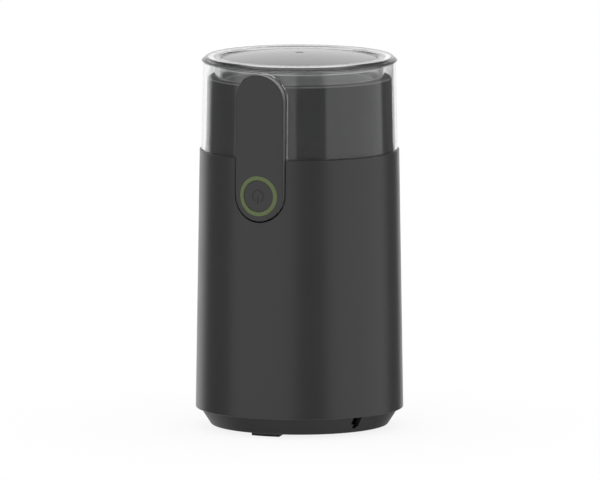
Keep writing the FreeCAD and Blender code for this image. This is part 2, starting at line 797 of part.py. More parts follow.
def make_body_shell():
    body = new_body("body_shell")
    slope = "(body_bottom_radius - body_top_radius) / body_rise"
    turned(body, "shell_shape", [
        ("body_bottom_radius", "body_bottom"), ("body_top_radius", "shoulder"),
        ("sleeve_radius + sleeve_clearance", "shoulder"),
        ("sleeve_radius + sleeve_clearance", "shoulder - body_top_thickness"),
        (f"body_top_radius - body_wall + {slope} * body_top_thickness",
         "shoulder - body_top_thickness"),
        ("body_bottom_radius - body_wall", "body_bottom")])
    rounded(body, "shell_bottom_edge", [("body_bottom_radius", "body_bottom")],
            "body_bottom_rounding")
    rounded(body, "shell_top_edge", [("body_top_radius", "shoulder")], "body_top_rounding")
    extruded(body, "panel_slot",
             lambda s: rounded_slot(s, "slot_half_width", "slot_bottom",
                                    "shoulder + body_top_thickness", round_top=False),
             "XZ_Plane", "body_bottom_radius", offset="sleeve_inner_radius", cut=True)
    boss = extruded(body, "screw_boss",
                    lambda s: circle(s, "0", "-base_screw_circle", "body_boss_radius"),
                    "XY_Plane", "body_boss_length", offset="base_boss_top")
    web = extruded(body, "boss_web",
                   lambda s: box_outline(s, "-body_web_width / 2",
                                         "-body_bottom_radius + body_wall / 2",
                                         "body_web_width / 2", "-base_screw_circle"),
                   "XY_Plane", "body_boss_length - base_spigot_rise",
                   offset="base_boss_top + base_spigot_rise")
    hole = extruded(body, "screw_hole",
                    lambda s: circle(s, "0", "-base_screw_circle", "screw_hole_radius"),
                    "XY_Plane", "base_screw_length", offset="base_boss_top - base_wall", cut=True)
    repeated(body, [boss, web, hole], "base_screw_count")


def make_collar():
    body = new_body("collar")
    turned(body, "collar_shape", [
        ("sleeve_inner_radius", "sleeve_bottom"), ("sleeve_radius", "sleeve_bottom"),
        ("sleeve_radius", "shoulder"), ("collar_foot_radius", "shoulder"),
        ("collar_rim_radius", "rim"), ("mouth_radius", "rim"), ("mouth_radius", "bowl_seat"),
        ("ledge_radius", "bowl_seat"), ("well_foot_radius", "well_floor"),
        ("bowl_hole_radius", "well_floor"), ("bowl_hole_radius", "well_under"),
        ("well_foot_radius + well_wall", "well_under"),
        ("ledge_radius + well_wall", "rim - rim_thickness"),
        ("sleeve_inner_radius", "rim - rim_thickness")])
    rounded(body, "rim_edge", [("collar_rim_radius", "rim")], "collar_rounding")
    rounded(body, "well_corner", [("well_foot_radius", "well_floor")], "well_rounding")
    rounded(body, "well_corner_outside", [("well_foot_radius + well_wall", "well_under")],
            "well_outside_rounding")
    extruded(body, "button_opening",
             lambda s: circle(s, "0", "button_level", "sleeve_hole_radius"),
             "XZ_Plane", "sleeve_wall * 4", offset="sleeve_inner_radius - sleeve_wall * 2", cut=True)
    for name, rise in (("low_peg_hole", "peg_low"), ("high_peg_hole", "peg_high")):
        extruded(body, name,
                 lambda s, r=rise: circle(s, "0", f"shoulder + {r}", "peg_radius + peg_clearance"),
                 "XZ_Plane", "sleeve_wall * 4", offset="sleeve_inner_radius - sleeve_wall * 2",
                 cut=True)
    clip_low = "shoulder - body_top_thickness - clip_clearance - clip_height"
    clip_high = "shoulder - body_top_thickness - clip_clearance"
    clips = []
    for number in range(int(size("clip_count"))):
        sketch = new_sketch(body, f"clip_{number}_outline", "XZ_Plane",
                            bearing=f"clip_bearing + 360 / clip_count * {number}")
        outline(sketch, [
            ("sleeve_radius - sleeve_wall / 2", clip_low), ("sleeve_radius", clip_low),
            ("sleeve_radius + clip_reach", clip_high),
            ("sleeve_radius - sleeve_wall / 2", clip_high)])
        clip = body.newObject("PartDesign::Revolution", f"clip_{number}")
        clip.Profile = sketch
        clip.ReferenceAxis = (sketch, ["V_Axis"])
        clip.Midplane = True
        bind(clip, "Angle", "clip_width_sweep")
        clips.append(clip)
    add_mount_bosses(body)
    add_interlock_seats(body)
    add_bracket_screw_holes(body)


def add_mount_bosses(body):
    """Bosses under the well's floor that the motor hangs from."""
    reach = "mount_boss_length + floor_thickness / 2"
    for number in range(int(size("mount_count"))):
        x, y = round_place("mount_circle", f"mount_bearing + 360 / mount_count * {number}")
        extruded(body, f"mount_boss_{number}",
                 lambda s, a=x, b=y: circle(s, a, b, "mount_boss_radius"),
                 "XY_Plane", reach, offset="mount_boss_end")
        extruded(body, f"mount_hole_{number}",
                 lambda s, a=x, b=y: circle(s, a, b, "screw_hole_radius"),
                 "XY_Plane", "mount_screw_length", offset="mount_boss_end - grommet_lip",
                 cut=True)


def add_interlock_seats(body):
    """The rod's hole in the rim, its guide, and the shelf its switch stands on."""
    inner = "sleeve_inner_radius + sleeve_wall / 2"
    extruded(body, "rod_guide",
             lambda s: box_outline(s, "-guide_half_width", "ledge_radius + well_wall / 4",
                                   "guide_half_width", inner),
             "XY_Plane", "guide_height", offset="guide_top - guide_height")
    extruded(body, "interlock_shelf",
             lambda s: box_outline(s, "-shelf_half_width",
                                   "interlock_offset - interlock_depth / 2",
                                   "shelf_half_width", inner),
             "XY_Plane", "shelf_thickness", offset="shelf_top - shelf_thickness")
    extruded(body, "rod_hole",
             lambda s: circle(s, "0", "rod_offset", "rod_radius + rod_clearance"),
             "XY_Plane", "rim - guide_top + guide_height * 2", offset="guide_top - guide_height * 1.5",
             cut=True)


def bracket_screw_place(side):
    """Between the arms' ends, in the middle of a tab."""
    sign = "-" if side < 0 else ""
    return f"{sign}bracket_screw_offset", "-bracket_tab_back"


def add_bracket_screw_holes(body):
    for side in (-1, 1):
        x, y = bracket_screw_place(side)
        extruded(body, f"bracket_hole_{side + 1}",
                 lambda s, a=x, b=y: circle(s, a, b, "screw_hole_radius"),
                 "XY_Plane", "bracket_hole_depth + bracket_tab", offset="well_under - bracket_tab",
                 cut=True)


def make_bowl():
    body = new_body("grinding_bowl")
    foot = "bowl_outer_radius - bowl_draft"
    turned(body, "bowl_shape", [
        ("mouth_radius - bowl_rim_clearance", "bowl_seat + bowl_sheet"),
        ("bowl_outer_radius - bowl_sheet", "bowl_seat + bowl_sheet"),
        (f"{foot} - bowl_sheet", "bowl_floor"), ("bowl_hole_radius", "bowl_floor"),
        ("bowl_hole_radius", "bowl_floor_under"), (foot, "bowl_floor_under"),
        ("bowl_outer_radius", "bowl_seat"),
        ("mouth_radius - bowl_rim_clearance", "bowl_seat")])
    rounded(body, "bowl_corner_outside", [(foot, "bowl_floor_under")], "bowl_rounding")
    rounded(body, "bowl_corner", [(f"{foot} - bowl_sheet", "bowl_floor")],
            "bowl_rounding - bowl_sheet")
    rounded(body, "bowl_lip", [("bowl_outer_radius - bowl_sheet", "bowl_seat + bowl_sheet")],
            "bowl_sheet")


def make_ring(label, inner, outer, low, high):
    """A plain turned ring, such as a gasket, a bearing or a washer."""
    body = new_body(label)
    turned(body, label + "_shape", [(inner, low), (outer, low), (outer, high), (inner, high)])
    return body


def make_bowl_fittings():
    make_ring("bowl_gasket", "bowl_hole_radius", "gasket_outer_radius", "well_floor",
              "bowl_floor_under")
    bush = new_body("bowl_clamp_bush")
    under = "bowl_floor + bush_flange_thickness - bush_length - bush_flange_thickness"
    turned(bush, "bush_shape", [
        ("bush_bore_radius", under), ("bowl_hole_radius - bush_clearance", under),
        ("bowl_hole_radius - bush_clearance", "bowl_floor"), ("bush_flange_radius", "bowl_floor"),
        ("bush_flange_radius - bush_flange_thickness / 2", "bowl_floor + bush_flange_thickness"),
        ("bush_lip_radius", "bowl_floor + bush_flange_thickness"),
        ("bush_lip_radius", "bowl_floor"), ("bush_bore_radius", "bowl_floor")])
    nut = make_ring("bowl_clamp_nut", "bowl_hole_radius - bush_clearance / 2", "bush_nut_radius",
                    "well_under - bush_nut_thickness", "well_under")
    flat = extruded(nut, "nut_flat",
                    lambda s: box_outline(s, "-bush_nut_radius", "bush_nut_flat",
                                          "bush_nut_radius", "bush_nut_radius * 2"),
                    "XY_Plane", "bush_nut_thickness * 2",
                    offset="well_under - bush_nut_thickness * 1.5", cut=True)
    repeated(nut, [flat], "6")
    make_ring("shaft_seal", "shaft_radius + running_clearance",
              "bush_bore_radius - bearing_clearance", "bowl_floor - seal_length", "bowl_floor")


def make_blade():
    body = new_body("blade")
    thick, lift = "blade_thickness", "blade_lift"
    extruded(body, "blade_strip", lambda s: outline(s, [
        ("-blade_flat_radius", "blade_under"), ("blade_flat_radius", "blade_under"),
        ("blade_radius", f"blade_under + {lift}"),
        ("blade_radius", f"blade_under + {lift} + {thick}"),
        ("blade_flat_radius", f"blade_under + {thick}"),
        ("-blade_flat_radius", f"blade_under + {thick}"),
        ("-blade_radius", f"blade_under + {lift} + {thick}"),
        ("-blade_radius", f"blade_under + {lift}")]),
        "XZ_Plane", "blade_hub_radius * 2 + blade_width", both_ways=True)

    def blade_plan(sketch):
        far = "blade_radius * 2"
        box_outline(sketch, f"-{far}", f"-{far}", far, far)
        half, bulge = "blade_width / 2", "blade_width / 2 + blade_bulge"
        outline(sketch, [
            ("blade_hub_radius", f"-{half}"), ("blade_radius", f"{half} - blade_tip_width"),
            ("blade_radius", half), ("blade_hub_radius / 2", bulge),
            ("-blade_hub_radius", half), ("-blade_radius", f"blade_tip_width - {half}"),
            ("-blade_radius", f"-{half}"), ("-blade_hub_radius / 2", f"-({bulge})")])

    extruded(body, "blade_trim", blade_plan, "XY_Plane", f"{lift} + {thick} * 4",
             offset=f"blade_under - {thick}", cut=True)
    extruded(body, "blade_bore", lambda s: circle(s, "0", "0", "bore_on_shaft"), "XY_Plane",
             f"{thick} * 3", offset=f"blade_under - {thick}", cut=True)


def make_blade_fittings():
    make_ring("blade_spacer", "bore_on_shaft", "blade_spacer_radius", "spacer_under", "blade_under")
    make_ring("blade_washer", "bore_on_shaft", "washer_radius", "washer_under", "nut_under")
    nut = new_body("blade_nut")
    turned(nut, "nut_shape", [
        ("bore_on_shaft", "nut_under"), ("nut_corner_radius", "nut_under"),
        ("nut_corner_radius", "nut_top - nut_shoulder_drop"), ("nut_tip_radius", "nut_top"),
        ("0", "nut_top"),
        ("0", "shaft_top"), ("bore_on_shaft", "shaft_top")])
    flat = extruded(nut, "nut_flat",
                    lambda s: box_outline(s, "-nut_radius * 2", "nut_radius", "nut_radius * 2",
                                          "nut_radius * 2"),
                    "XY_Plane", "nut_height * 2", offset="nut_under - nut_height / 2", cut=True)
    repeated(nut, [flat], "6")


def make_front_panel():
    body = new_body("front_panel")
    turned(body, "panel_arc", [
        ("-panel_back_radius", "panel_bottom"), ("-panel_face_radius", "panel_bottom"),
        ("-panel_face_radius", "panel_top"), ("-panel_back_radius", "panel_top")],
        plane="YZ_Plane", sweep="panel_sweep")

    def around_panel(sketch):
        far = "panel_half_width * 3"
        box_outline(sketch, f"-{far}", "panel_bottom - panel_half_width", far,
                    "panel_top + panel_half_width")
        rounded_slot(sketch, "panel_half_width", "panel_bottom", "panel_top")

    extruded(body, "panel_trim", around_panel, "XZ_Plane", "panel_face_radius",
             offset="panel_half_width", cut=True)
    doc.recompute()
    front = [f"Edge{number}" for number, edge in enumerate(body.Tip.Shape.Edges, 1)
             if all(abs(math.hypot(v.X, v.Y) - size("panel_face_radius")) < 1e-4
                    for v in edge.Vertexes)]
    rounded(body, "panel_edge", [], "panel_rounding", names=front)
    extruded(body, "panel_boss",
             lambda s: circle(s, "0", "button_level", "panel_boss_radius"), "XZ_Plane",
             "panel_back_radius - panel_boss_back + panel_gap", offset="panel_boss_back")
    extruded(body, "ring_opening",
             lambda s: circle(s, "0", "button_level", "ring_hole_radius"), "XZ_Plane",
             "panel_face_radius", offset="panel_half_width", cut=True)
    for name, rise in (("low_peg", "peg_low"), ("high_peg", "peg_high")):
        extruded(body, name, lambda s, r=rise: circle(s, "0", f"shoulder + {r}", "peg_radius"),
                 "XZ_Plane", "panel_back_radius - peg_end + panel_gap", offset="peg_end")


def make_button_ring():
    body = new_body("button_ring")
    bore = "ring_bore_radius"

    def band(sketch, outer):
        circle(sketch, "0", "button_level", outer)
        circle(sketch, "0", "button_level", bore)

    extruded(body, "ring_flange", lambda s: band(s, "ring_flange_radius"), "XZ_Plane",
             "ring_flange_thickness", offset="ring_flange_back")
    extruded(body, "ring_band", lambda s: band(s, "ring_radius"), "XZ_Plane",
             "panel_face_radius - panel_boss_back + panel_gap", offset="panel_boss_back")
    keep_inside(body, "ring_face", "panel_face_radius", "button_level", "ring_radius * 2")


def make_power_button():
    body = new_body("power_button")
    at = ("0", "button_level")
    extruded(body, "button_cap", lambda s: circle(s, *at, "button_radius"), "XZ_Plane",
             "panel_face_radius - button_cap_back + panel_gap", offset="button_cap_back")

    def skirt(sketch, outer):
        circle(sketch, *at, outer)
        circle(sketch, *at, "button_skirt_radius")

    extruded(body, "button_skirt", lambda s: skirt(s, "button_radius"), "XZ_Plane",
             "button_cap_back - button_flange_back", offset="button_flange_back")
    extruded(body, "button_flange", lambda s: skirt(s, "button_flange_radius"), "XZ_Plane",
             "button_flange_thickness", offset="button_flange_back")
    extruded(body, "button_stem", lambda s: circle(s, *at, "button_stem_radius"), "XZ_Plane",
             "button_cap_back - stem_end + peg_clearance", offset="stem_end")
    face = "(panel_face_radius - button_face_recess)"
    keep_inside(body, "button_face", face, "button_level", "button_radius * 2")
    cut_power_symbol(body, face)


def cut_power_symbol(body, face):
    """The upright line and open circle of a power symbol, engraved with its gap below."""
    start = f"{face} - symbol_depth"
    inner = "(symbol_radius - symbol_line)"

    def symbol_arc(sketch):
        gap = size("symbol_opening") / 2
        from_angle, to_angle = math.radians(gap - 90), math.radians(270 - gap)
        centre = Vector(0, size("button_level"), 0)
        arcs = []
        for radius in ("symbol_radius", inner):
            arc = Part.ArcOfCircle(Part.Circle(centre, Vector(0, 0, 1), size(radius)),
                                   from_angle, to_angle)
            number = sketch.addGeometry(arc, False)
            fix_point(sketch, number, 3, "0", "button_level")
            bound = sketch.addConstraint(Sketcher.Constraint("Radius", number, size(radius)))
            bind(sketch, f"Constraints[{bound}]", radius)
            arcs.append(number)
        for end, angle in ((1, from_angle), (2, to_angle)):
            points = [centre + Vector(size(r) * math.cos(angle), size(r) * math.sin(angle), 0)
                      for r in ("symbol_radius", inner)]
            line = sketch.addGeometry(Part.LineSegment(*points), False)
            sketch.addConstraint(Sketcher.Constraint("Coincident", arcs[0], end, line, 1))
            sketch.addConstraint(Sketcher.Constraint("Coincident", arcs[1], end, line, 2))
            across = "symbol_radius * sin(symbol_opening / 2)"
            inside = f"{inner} * sin(symbol_opening / 2)"
            for curve, distance in ((arcs[0], across), (arcs[1], inside)):
                sign = "" if end == 1 else "-"
                expression = f"{sign}({distance})"
                bound = sketch.addConstraint(
                    Sketcher.Constraint("DistanceX", -1, 1, curve, end, size(expression)))
                bind(sketch, f"Constraints[{bound}]", expression)

    extruded(body, "symbol_circle", symbol_arc, "XZ_Plane", "panel_gap", offset=start, cut=True)
    extruded(body, "symbol_bar",
             lambda s: box_outline(s, "-symbol_line / 2", "button_level - symbol_bar_end",
                                   "symbol_line / 2", "button_level - symbol_bar_start"),
             "XZ_Plane", "panel_gap", offset=start, cut=True)


def make_pulse_switch():
    body = new_body("pulse_switch")
    low, high = "button_level - switch_height / 2", "button_level + switch_height / 2"
    extruded(body, "switch_case",
             lambda s: box_outline(s, "-switch_width / 2", low, "switch_width / 2", high),
             "XZ_Plane", "switch_depth", offset="switch_face - switch_depth")
    extruded(body, "plunger_hole",
             lambda s: circle(s, "0", "button_level", "plunger_radius + plunger_clearance"),
             "XZ_Plane", "plunger_hole_depth * 2", offset="switch_face - plunger_hole_depth",
             cut=True)
    for side in (-1, 0, 1):
        extruded(body, f"terminal_{side + 1}",
                 lambda s, k=side: box_outline(
                     s, f"{k} * switch_width / 3 - plunger_radius", f"{low} + plunger_radius * 2",
                     f"{k} * switch_width / 3 + plunger_radius",
                     f"{low} + plunger_radius * 2 + switch_tab_thickness"),
                 "XZ_Plane", "switch_tab_reach * 2",
                 offset="switch_face - switch_depth - switch_tab_reach")
    plunger = new_body("pulse_switch_plunger")
    extruded(plunger, "plunger_pin", lambda s: circle(s, "0", "button_level", "plunger_radius"),
             "XZ_Plane", "plunger_length", offset="plunger_front - plunger_length")


def make_switch_bracket():
    """A plate the spring seats on, arms beside the switch and tabs under the well's floor."""
    body = new_body("switch_bracket")
    inside = "(switch_width / 2 + bracket_clearance)"
    outside = f"({inside} + bracket_arm)"
    low = "button_level - switch_height / 2 - bracket_clearance - bracket_plate"
    top = "well_under"

    def plate(sketch):
        box_outline(sketch, f"-{outside}", low, outside, top)
        circle(sketch, "0", "button_level", "button_stem_radius + screw_head_clearance")

    extruded(body, "bracket_front", plate, "XZ_Plane", "bracket_plate", offset="switch_face")
    for sign, name in (("-", "left"), ("", "right")):
        near = f"{sign}{inside}"
        far = f"{sign}{outside}"
        extruded(body, f"arm_{name}",
                 lambda s, a=near, b=far: box_outline(s, b if "-" == b[0] else a, low,
                                                      a if "-" == b[0] else b, top),
                 "XZ_Plane", "switch_face - bracket_tab_back - bracket_tab_length / 2 + bracket_plate",
                 offset="bracket_tab_back + bracket_tab_length / 2 - bracket_plate")
        edge = f"{sign}({outside} - bracket_tab_width)"
        extruded(body, f"tab_{name}",
                 lambda s, a=edge, b=far: box_outline(
                     s, b if "-" == b[0] else a, "-bracket_tab_back - bracket_tab_length / 2",
                     a if "-" == b[0] else b, "-bracket_tab_back + bracket_tab_length / 2"),
                 "XY_Plane", "bracket_tab", offset=f"{top} - bracket_tab")
    extruded(body, "bracket_shelf",
             lambda s: box_outline(s, f"-{outside}", "-switch_face", outside,
                                   "-switch_face + switch_depth / 2"),
             "XY_Plane", "bracket_plate", offset=low)
    screws = []
    for number, side in enumerate((-1, 1)):
        x, y = bracket_screw_place(side)
        extruded(body, f"tab_hole_{number}",
                 lambda s, a=x, b=y: circle(s, a, b, "screw_hole_radius"),
                 "XY_Plane", "bracket_tab * 2", offset=f"{top} - bracket_tab * 1.5", cut=True)
        screws.append(make_screw(f"switch_bracket_screw_{number + 1}", "bracket_screw_length",
                                 x, y, f"{top} - bracket_tab"))
    group("switch_bracket_screws", screws)


def make_lid():
    body = new_body("lid_cover")
    inner_foot = "lid_foot_radius - lid_wall"
    inner_neck = "lid_neck_radius - lid_wall"
    turned(body, "lid_shape", [
        ("0", "lid_plate_top"), ("disc_radius + disc_clearance", "lid_plate_top"),
        ("disc_radius + disc_clearance", "lid_top - lid_recess_depth"),
        ("lid_recess_radius", "lid_top"), ("lid_face_radius", "lid_top"),
        ("lid_face_radius + lid_face_rounding", "lid_top - lid_face_fall"),
        ("lid_lip_radius", "lid_lip_level"),
        ("lid_neck_radius", "lid_lip_level - lid_lip_under"),
        ("lid_foot_radius", "shoulder"), (inner_foot, "shoulder"),
        (inner_neck, "lid_top - lid_roof"), ("lid_skirt_radius", "lid_top - lid_roof"),
        ("lid_skirt_radius", "lid_skirt_end"),
        ("lid_skirt_radius - lid_skirt_wall", "lid_skirt_end"),
        ("lid_skirt_radius - lid_skirt_wall", "lid_plate_under"), ("0", "lid_plate_under")])
    extruded(body, "lid_cut_out",
             lambda s: rounded_slot(s, "slot_half_width", "shoulder - body_top_thickness",
                                    "slot_top", round_bottom=False),
             "XZ_Plane", "lid_lip_radius",
             offset="lid_cut_start", cut=True)
    disc = new_body("lid_disc")
    edge_top = "lid_plate_top + disc_edge"
    turned(disc, "disc_shape", [
        ("disc_radius - disc_wall", "lid_plate_top"), ("disc_radius", "lid_plate_top"),
        ("disc_radius", edge_top, "crown"), ("0", f"{edge_top} + disc_crown"),
        ("0", f"{edge_top} + disc_crown - disc_wall", "crown")])
    extruded(disc, "disc_dimple", lambda s: circle(s, "0", "0", "disc_dimple_radius"),
             "XY_Plane", "disc_crown", offset=f"{edge_top} + disc_crown - disc_dimple_depth",
             cut=True)


def make_interlock():
    rod = new_body("interlock_rod")
    turned(rod, "rod_shape", [
        ("0", "rod_foot"), ("rod_radius", "rod_foot"), ("rod_radius", "rod_flange_under"),
        ("rod_flange_radius", "rod_flange_under"),
        ("rod_flange_radius", "rod_flange_under + rod_flange_thickness"),
        ("rod_radius", "rod_flange_under + rod_flange_thickness"),
        ("rod_radius", "rod_top"), ("0", "rod_top")])
    placed(rod, y="rod_offset")
    switch = new_body("interlock_switch")
    low, high = "interlock_offset - interlock_depth / 2", "interlock_offset + interlock_depth / 2"
    extruded(switch, "interlock_case",
             lambda s: box_outline(s, "-interlock_width / 2", low, "interlock_width / 2", high),
             "XY_Plane", "interlock_height", offset="shelf_top")
    extruded(switch, "interlock_hole",
             lambda s: circle(s, "0", "rod_offset", "plunger_radius + plunger_clearance"),
             "XY_Plane", "plunger_hole_depth * 2", offset="interlock_top - plunger_hole_depth",
             cut=True)
    plunger = new_body("interlock_plunger")
    extruded(plunger, "interlock_pin", lambda s: circle(s, "0", "rod_offset", "plunger_radius"),
             "XY_Plane", "plunger_length",
             offset="interlock_top + plunger_stand - plunger_length")


def make_mount_hardware():
    """Rubber mounts between the well's bosses and the upper motor bracket, and their screws."""
    names = ("motor_mount_right", "motor_mount_rear", "motor_mount_left")
    screws = []
    for number, name in enumerate(names):
        x, y = round_place("mount_circle", f"mount_bearing + 360 / mount_count * {number}")
        body = new_body(name)
        turned(body, name + "_shape", [
            ("screw_hole_radius", "bracket_under - grommet_lip"),
            ("grommet_radius", "bracket_under - grommet_lip"),
            ("grommet_radius", "bracket_under"), ("grommet_neck_radius", "bracket_under"),
            ("grommet_neck_radius", "bracket_top"), ("grommet_radius", "bracket_top"),
            ("grommet_radius", "mount_boss_end"), ("screw_hole_radius", "mount_boss_end")])
        placed(body, x, y)
        screws.append(make_screw(f"motor_mount_screw_{number + 1}", "mount_screw_length", x, y,
                                 "bracket_under - grommet_lip"))
    group("motor_mount_screws", screws)


def add_bolt_posts(body, name, low, high):
    """Two posts with bolt holes, on opposite sides of the motor's axis."""
    place = round_place("motor_bolt_circle", "motor_bolt_bearing")
    post = extruded(body, name, lambda s: circle(s, *place, "post_radius"),
                    "XY_Plane", f"{high} - ({low})", offset=low)
    hole = extruded(body, name + "_hole",
                    lambda s: circle(s, *place, "motor_bolt_radius + motor_bolt_clearance"),
                    "XY_Plane", f"({high} - ({low})) * 2", offset=f"{low} - bracket_thickness * 2",
                    cut=True)
    repeated(body, [post, hole], "2")


def make_upper_bracket():
    body = new_body("upper_motor_bracket")
    bore = "bearing_radius + bearing_clearance"
    turned(body, "upper_plate", [
        (bore, "upper_hub_under + bearing_shelf"),
        ("bracket_bore", "upper_hub_under + bearing_shelf"),
        ("bracket_bore", "upper_hub_under"),
        ("bracket_hub_radius", "upper_hub_under"), ("bracket_hub_radius", "bracket_under"),
        ("bracket_plate_radius", "bracket_under"),
        ("bracket_plate_radius", "bracket_top"),
        ("bracket_hub_radius", "bracket_top"), ("bracket_hub_radius", "upper_hub_top"),
        (bore, "upper_hub_top")])
    for number in range(int(size("mount_count"))):
        bearing = f"mount_bearing + 360 / mount_count * {number}"
        for name, place, radius in (
                ("mount_opening", round_place("mount_circle", bearing),
                 "grommet_neck_radius + grommet_clearance"),
                ("air_opening", round_place("upper_air_circle", f"{bearing} + 180"),
                 "air_opening_radius")):
            extruded(body, f"{name}_{number}",
                     lambda s, at=place, reach=radius: circle(s, *at, reach),
                     "XY_Plane", "bracket_thickness * 2",
                     offset="bracket_under - bracket_thickness / 2", cut=True)
    add_bolt_posts(body, "upper_post", "stator_top", "bracket_under")


def make_lower_bracket():
    body = new_body("lower_motor_bracket")
    bore = "bearing_radius + bearing_clearance"
    turned(body, "lower_plate", [
        (bore, "lower_hub_under + bearing_shelf"),
        ("bracket_bore", "lower_hub_under + bearing_shelf"),
        ("bracket_bore", "lower_hub_under"),
        ("bracket_hub_radius", "lower_hub_under"), ("bracket_hub_radius", "lower_bracket_under"),
        ("bracket_plate_radius", "lower_bracket_under"),
        ("bracket_plate_radius", "lower_bracket_top"), (bore, "lower_bracket_top")])
    seat = extruded(body, "brush_seat",
                    lambda s: box_outline(s, "brush_tube_start + brush_tube_wall",
                                          "-tube_half_width", "brush_tube_end",
                                          "tube_half_width"),
                    "XY_Plane", "brush_level - tube_half_height - lower_bracket_top",
                    offset="lower_bracket_top")
    repeated(body, [seat], "2")
    air = extruded(body, "air_opening",
                   lambda s: circle(s, "air_opening_across", "air_opening_along",
                                    "air_opening_radius"),
                   "XY_Plane", "lower_bracket_thickness * 2",
                   offset="lower_bracket_under - lower_bracket_thickness / 2", cut=True)
    repeated(body, [air], "2")
    other = extruded(body, "second_air_opening",
                     lambda s: circle(s, "-air_opening_across", "air_opening_along",
                                      "air_opening_radius"),
                     "XY_Plane", "lower_bracket_thickness * 2",
                     offset="lower_bracket_under - lower_bracket_thickness / 2", cut=True)
    repeated(body, [other], "2")
    add_bolt_posts(body, "lower_post", "lower_bracket_top", "stator_under")


def make_motor_bolts():
    bolts = []
    for number in range(2):
        x, y = round_place("motor_bolt_circle", f"motor_bolt_bearing + 180 * {number}")
        body = new_body(f"motor_bolt_{number + 1}")
        turned(body, "bolt_shape", [
            ("0", "lower_bracket_under - bolt_head_height"),
            ("bolt_head_radius", "lower_bracket_under - bolt_head_height"),
            ("bolt_head_radius", "lower_bracket_under"), ("motor_bolt_radius", "lower_bracket_under"),
            ("motor_bolt_radius", "bracket_top"), ("0", "bracket_top")])
        bolts.append(placed(body, x, y))
    group("motor_bolts", bolts)


def make_bearings():
    for label, low, length in (
            ("upper_bearing", "upper_hub_under + bearing_shelf", "bearing_length"),
            ("lower_bearing", "lower_hub_under + bearing_shelf", "lower_bearing_length")):
        make_ring(label, "shaft_radius + running_clearance", "bearing_radius", low,
                  f"{low} + {length}")


def make_stator():
    body = make_ring("stator_core", "bore_radius", "bracket_radius", "stator_under", "stator_top")
    low, high = "stator_under - winding_end", "stator_top + winding_end"
    windows = turned(body, "winding_window", [
        ("shoe_radius", low), ("yoke_inner_radius", low), ("yoke_inner_radius", high),
        ("shoe_radius", high)], plane="YZ_Plane", sweep="window_sweep", cut=True)
    gap = turned(body, "shoe_gap", [
        ("bore_radius - winding_end", low), ("yoke_inner_radius", low),
        ("yoke_inner_radius", high), ("bore_radius - winding_end", high)],
        plane="YZ_Plane", sweep="shoe_gap_sweep", cut=True)
    place = round_place("motor_bolt_circle", "motor_bolt_bearing")
    hole = extruded(body, "bolt_hole",
                    lambda s: circle(s, *place, "motor_bolt_radius + motor_bolt_clearance"),
                    "XY_Plane", "stator_length * 2", offset="stator_under - stator_length / 2",
                    cut=True)
    repeated(body, [windows, gap, hole], "2")


def make_field_coil(label, bearing):
    """A saddle-shaped coil: down one side of its pole, and back over both ends."""
    body = new_body(label)
    inner, outer = "shoe_radius + coil_clearance", "yoke_inner_radius - coil_clearance"
    low, high = "stator_under - coil_end", "stator_top + coil_end"
    turned(body, label + "_shape", [(inner, low), (outer, low), (outer, high), (inner, high)],
           sweep="coil_sweep")
    wide = "bracket_radius"
    turned(body, label + "_opening", [
        ("bore_radius", "stator_under - coil_clearance"), (wide, "stator_under - coil_clearance"),
        (wide, "stator_top + coil_clearance"), ("bore_radius", "stator_top + coil_clearance")],
        sweep="coil_neck_sweep", cut=True)
    at_bearing(body, bearing)


def make_armature():
    core = make_ring("armature_core", "bore_on_shaft", "armature_radius", "stator_under",
                     "stator_top")
    slot = extruded(core, "armature_slot",
                    lambda s: box_outline(s, "-armature_slot_width / 2", "armature_core_radius",
                                          "armature_slot_width / 2", "armature_radius * 2"),
                    "XY_Plane", "stator_length * 2", offset="stator_under - stator_length / 2",
                    cut=True)
    repeated(core, [slot], "armature_slot_count")
    winding = new_body("armature_winding")
    hole = "bore_on_shaft + winding_clearance"
    reach = "winding_radius"
    turned(winding, "lower_end_turns", [
        (hole, "winding_under"), (reach, "winding_under"), (reach, "stator_under"),
        (hole, "stator_under")])
    turned(winding, "upper_end_turns", [
        (hole, "stator_top"), (reach, "stator_top"), (reach, "stator_top + winding_end"),
        (hole, "stator_top + winding_end")])
    half = "(armature_slot_width / 2 - winding_clearance)"
    bar = extruded(winding, "slot_filling",
                   lambda s: box_outline(s, f"-{half}", "armature_core_radius + winding_clearance",
                                         half, reach),
                   "XY_Plane", "stator_length + winding_end", offset="stator_under - winding_end / 2")
    repeated(winding, [bar], "armature_slot_count")
    commutator = make_ring("commutator", "bore_on_shaft", "commutator_radius",
                           "commutator_under", "commutator_top")
    groove = extruded(commutator, "bar_gap",
                      lambda s: box_outline(s, "-commutator_slot_width / 2",
                                            "commutator_radius - commutator_slot_depth",
                                            "commutator_slot_width / 2", "commutator_radius * 2"),
                      "XY_Plane", "commutator_length * 2",
                      offset="commutator_under - commutator_length / 2", cut=True)
    repeated(commutator, [groove], "armature_slot_count")


def make_shaft():
    body = new_body("shaft")
    turned(body, "shaft_shape", [
        ("0", "shaft_bottom"), ("shaft_radius", "shaft_bottom"), ("shaft_radius", "shaft_top"),
        ("0", "shaft_top")])


def make_fan():
    body = new_body("cooling_fan")
    turned(body, "fan_plate", [
        ("bore_on_shaft", "fan_under"), ("fan_hub_radius", "fan_under"),
        ("fan_hub_radius", "fan_top - fan_plate"), ("fan_radius", "fan_top - fan_plate"),
        ("fan_radius", "fan_top"), ("bore_on_shaft", "fan_top")])
    vane = extruded(body, "fan_vane",
                    lambda s: outline(s, [
                        ("0", "fan_hub_radius - fan_plate"),
                        ("fan_blade_thickness", "fan_hub_radius - fan_plate"),
                        ("fan_blade_thickness * 4", "fan_radius - fan_plate"),
                        ("fan_blade_thickness * 3", "fan_radius - fan_plate")]),
                    "XY_Plane", "fan_height - fan_plate / 2", offset="fan_under")
    repeated(body, [vane], "fan_blade_count")


